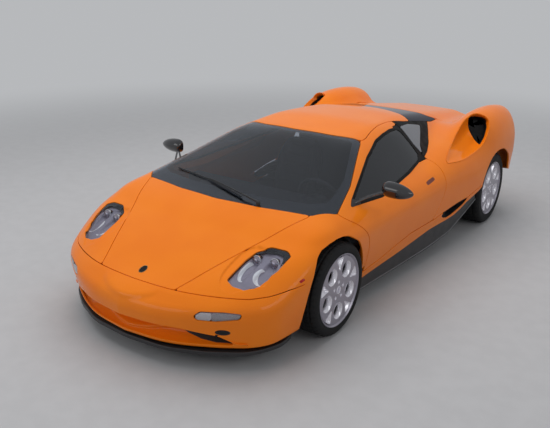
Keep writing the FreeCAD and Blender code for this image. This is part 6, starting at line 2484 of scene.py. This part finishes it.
@dataclass
class Studio:
    """Floor, soft lights and camera."""

    eye: tuple[float, float, float] = (2.90425, -4.77203, 2.2926)
    ahead: tuple[float, float, float] = (-0.538299, 0.770821, -0.340689)
    right: tuple[float, float, float] = (0.817229, 0.576179, 0.012379)
    lens: float = 46.24
    fill: float = 0.34          # the sky's strength as a light
    backdrop: float = 0.50      # and where it is seen
    ground: float = 60.0        # the floor's half-width
    horizon: tuple[float, float] = (3.5, 9.0)       # where the floor starts to fade and where it is gone
    # columns: name, place, size, power, aim
    panels: Sequence[tuple] = (("overhead", (-1.0, 0.5, 5.6), (10.0, 6.0), 290.0, (0.0, 0.2, 0.4)),
                               ("left_panel", (6.0, -2.0, 3.6), (6.0, 1.5), 50.0, (0.4, -0.2, 0.5)),
                               ("front_panel", (-2.5, -7.0, 3.4), (6.0, 2.5), 60.0, (0.0, -1.0, 0.4)))

    def build(self) -> None:
        """Everything that isn't the car."""
        self.floor()
        self.lights()
        self.camera()

    def floor(self) -> None:
        """A pale ground that runs out of sight."""
        data = bpy.data.meshes.new("floor")
        size = self.ground
        data.from_pydata([(-size, -size, 0.0), (size, -size, 0.0), (size, size, 0.0), (-size, size, 0.0)], [],
                         [(0, 1, 2, 3)])
        g = Graph("floor_pale")
        speck = g.noise(8.0, 2.0)
        ground = g.surface(Base_Color=g.mix(speck.band(0.3, 0.7), (0.50, 0.50, 0.51), (0.52, 0.52, 0.53)),
                           Roughness=0.75, Specular_IOR_Level=0.2)
        distance = g.node("ShaderNodeVectorMath", {0: g.place()}, 1, operation="LENGTH")
        sky = g.node("ShaderNodeEmission", {"Color": SKY, "Strength": self.backdrop})
        fade = distance.band(*self.horizon) * self.looked_at(g)
        data.materials.append(g.finish(g.node("ShaderNodeMixShader", {0: fade, 1: ground, 2: sky})))
        made = bpy.data.objects.new("floor", data)
        bpy.context.scene.collection.objects.link(made)

    @staticmethod
    def looked_at(g: Graph) -> Wire:
        """1 for rays that look, straight or by way of gloss or glass, and 0 for those that only light."""
        camera, glossy, through = (g.node("ShaderNodeLightPath", output=f"Is {kind} Ray")
                                   for kind in ("Camera", "Glossy", "Transmission"))
        return g.node("ShaderNodeMath", {0: camera + glossy + through, 1: 1.0}, operation="MINIMUM")

    def lights(self) -> None:
        """A pale sky, dimmer as a light than where it is seen, and the panels."""
        g = Graph("studio", world=True)
        dim, seen = (g.node("ShaderNodeBackground", {"Color": SKY, "Strength": strength})
                     for strength in (self.fill, self.backdrop))
        sky = g.node("ShaderNodeMixShader", {0: self.looked_at(g), 1: dim, 2: seen})
        bpy.context.scene.world = g.finish(sky)
        for name, place, size, power, aim in self.panels:
            light = bpy.data.lights.new(name, "AREA")
            light.shape = "RECTANGLE"
            light.size, light.size_y = size
            light.energy = power
            made = bpy.data.objects.new(name, light)
            made.visible_glossy = name != "overhead"
            bpy.context.scene.collection.objects.link(made)
            made.matrix_world = self.facing(place, unit(np.array(aim) - np.array(place)), Z)

    @staticmethod
    def facing(place: Sequence[float], ahead: Array, up: Array) -> "mathutils.Matrix":
        """A matrix whose own -Z looks ahead."""
        right = unit(np.cross(ahead, up))
        matrix = np.eye(4)
        matrix[:3, 0], matrix[:3, 1], matrix[:3, 2] = right, np.cross(right, ahead), -np.asarray(ahead)
        matrix[:3, 3] = place
        return mathutils.Matrix(matrix.tolist())

    def camera(self) -> None:
        """The camera, set by its place, its view and its right-hand side."""
        data = bpy.data.cameras.new("camera")
        data.lens = self.lens
        data.sensor_fit = "HORIZONTAL"
        data.sensor_width = 36.0
        made = bpy.data.objects.new("camera", data)
        bpy.context.scene.collection.objects.link(made)
        ahead = unit(np.array(self.ahead))
        up = np.cross(np.array(self.right), ahead)
        made.matrix_world = self.facing(self.eye, ahead, up)
        bpy.context.scene.camera = made


# columns: end, tyre's radius, tyre's width, x of its outer face, y of the axle
WHEELS = (("front", 0.311, 0.235, 0.93, -1.205), ("rear", 0.329, 0.335, 0.985, 1.445))


def main() -> None:
    """Builds the car and its studio, and logs what was made."""
    logging.basicConfig(level=logging.INFO, format="%(message)s")
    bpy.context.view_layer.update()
    shop = Workshop()
    seams = Seams()
    body = Bodywork(shop, seams)
    body.build()
    Glazing(shop, seams, body).build()
    Nose(shop, seams, body).build()
    Headlamp(shop, seams, body).build()
    Flank(shop, seams, body).build()
    for end, radius, width, face, y in WHEELS:
        for hand, sign in (("left", 1.0), ("right", -1.0)):
            Wheel(shop, hand, end, (sign * (face - width / 2), y, radius), radius, width).build()
    Mirrors(shop, body).build()
    Wiper(shop).build()
    Tail(shop, seams, body).build()
    Cabin(shop).build()
    dress_kept(shop.finishes)
    Studio().build()
    bpy.context.scene.view_settings.view_transform = "Standard"
    log.info("%d pieces, %d triangles", shop.count, shop.triangles)


if __name__ == "__main__":
    main()
